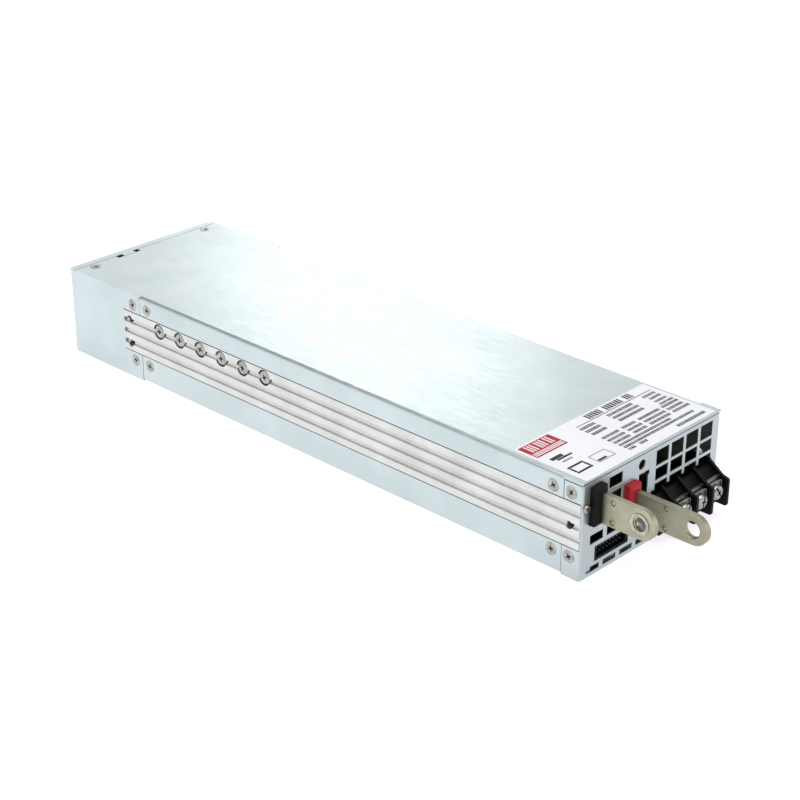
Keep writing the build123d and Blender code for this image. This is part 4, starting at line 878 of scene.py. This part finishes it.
def printPatches(name, patches, low, high, corner=0.08):
    deselectAll()
    bpy.ops.mesh.primitive_plane_add(size=1)
    ink = newPiece(name)
    editMode(ink)
    bpy.ops.mesh.select_all(action="SELECT")
    bpy.ops.mesh.delete(type="FACE")
    for x0, x1, y0, y1 in patches:
        bpy.ops.mesh.select_all(action="DESELECT")
        bpy.ops.mesh.primitive_plane_add(size=1)
        bpy.ops.transform.resize(value=((x1 - x0) * mm, (y1 - y0) * mm, 1))
        bpy.ops.transform.translate(value=((x0 + x1) / 2 * mm, (y0 + y1) / 2 * mm, low * mm))
    bpy.ops.mesh.select_mode(type="VERT")
    bpy.ops.mesh.select_all(action="SELECT")
    bpy.ops.mesh.bevel(offset=corner * mm, segments=2, affect="VERTICES")
    bpy.ops.mesh.select_mode(type="FACE")
    bpy.ops.mesh.select_all(action="SELECT")
    bpy.ops.mesh.extrude_region_move(TRANSFORM_OT_translate={"value": (0, 0, (high - low) * mm)})
    bpy.ops.mesh.select_all(action="SELECT")
    bpy.ops.mesh.normals_make_consistent(inside=False)
    objectMode()
    return ink


def brokenRow(x0, x1, y, height, longest=1.0, shortest=0.5, gap=0.3):
    marks = []
    x = x0
    while x < x1 - shortest:
        end = min(x + random.uniform(shortest, longest), x1)
        marks.append((x, end, y - height / 2, y + height / 2))
        x = end + gap
    return marks


# rows of short bars: (from x, to x, y, height)
labelRows = [
    (-9.3, -0.3, -121.9, 1.25), (-9.3, -0.3, -124.7, 1.25), (-9.3, -0.6, -127.6, 1.25),
    (7.2, 23.0, -121.9, 1.25), (7.2, 23.0, -124.7, 1.25), (7.2, 23.0, -127.6, 1.25),
    (29.6, 37.4, -121.9, 1.25), (30.5, 37.8, -124.7, 1.25), (30.0, 37.4, -127.6, 1.1),
    (29.4, 38.0, -130.2, 1.0),
    (-9.3, 22.3, -140.5, 1.1), (-9.3, 34.0, -142.8, 1.1), (-9.3, -5.2, -145.0, 1.1), (-2.6, 2.0, -145.0, 1.1),
    (19.0, 37.2, -146.4, 1.3),
]
for y in (-132.4, -135.2, -137.9):
    labelRows += [(-9.3, 0.6, y, 1.2), (2.8, 11.2, y, 1.2), (13.0, 26.2, y, 1.2), (27.8, 37.8, y, 1.2)]
blackMarks = [(-9.0, 37.4, -119.75, -119.35)]  # rule under the title
for x0, x1 in ((0.4, 9.6), (11.4, 21.8), (24.2, 29.0)):  # the title's place: heavier bars
    blackMarks += brokenRow(x0, x1, -116.9, 3.7, 1.2, 0.8, 0.5)
for x0, x1, y, height in labelRows:
    blackMarks += brokenRow(x0, x1, y, 1.4 * height)
for x0, x1, line in ((-37.2, -28.4, 1.1), (-25.0, -15.4, 0.35)):  # hollow squares
    blackMarks += [(x0, x1, -143.6, -143.6 + line), (x0, x1, -137.8 - line, -137.8)]
    blackMarks += [(x, x + line, -143.4 + line, -138.0 - line) for x in (x0, x1 - line)]
blackMarks += [(-24.4, -19.4, -142.9, -141.7), (-36.2, -29.6, -130.6, -128.6), (-34.6, -26.2, -131.9, -130.8)]
blackMarks += brokenRow(-34.2, -28.2, -133.6, 1.0)
redMarks = [(-38.3, -20.6, -125.1, -115.1)]
whiteMarks = [(x, x + 0.75, -121.0, -115.7) for x in (-35.9, -34.4, -32.9, -30.6, -29.1, -27.6, -25.3, -23.8)]
whiteMarks += [(-37.7, -21.2, y, y + 0.5) for y in (-124.2, -123.3, -122.4)]

labelFilm = makeFilm()
finishPiece(labelFilm, materials["labelFilm"], "case", "label_film", "rating_label")
blackPrint = printPatches("labelBlackPrint", blackMarks, label["filmTop"], label["inkTop"])
finishPiece(blackPrint, materials["blackInk"], "case", "label_film")
redPrint = printPatches("labelRedField", redMarks, label["filmTop"], label["filmTop"] + 0.01, 0.3)
finishPiece(redPrint, materials["redInk"], "case", "label_film")
whitePrint = printPatches("labelWhiteLines", whiteMarks, label["filmTop"] + 0.01, label["inkTop"])
finishPiece(whitePrint, materials["labelFilm"], "case", "label_film")
print("label ready")
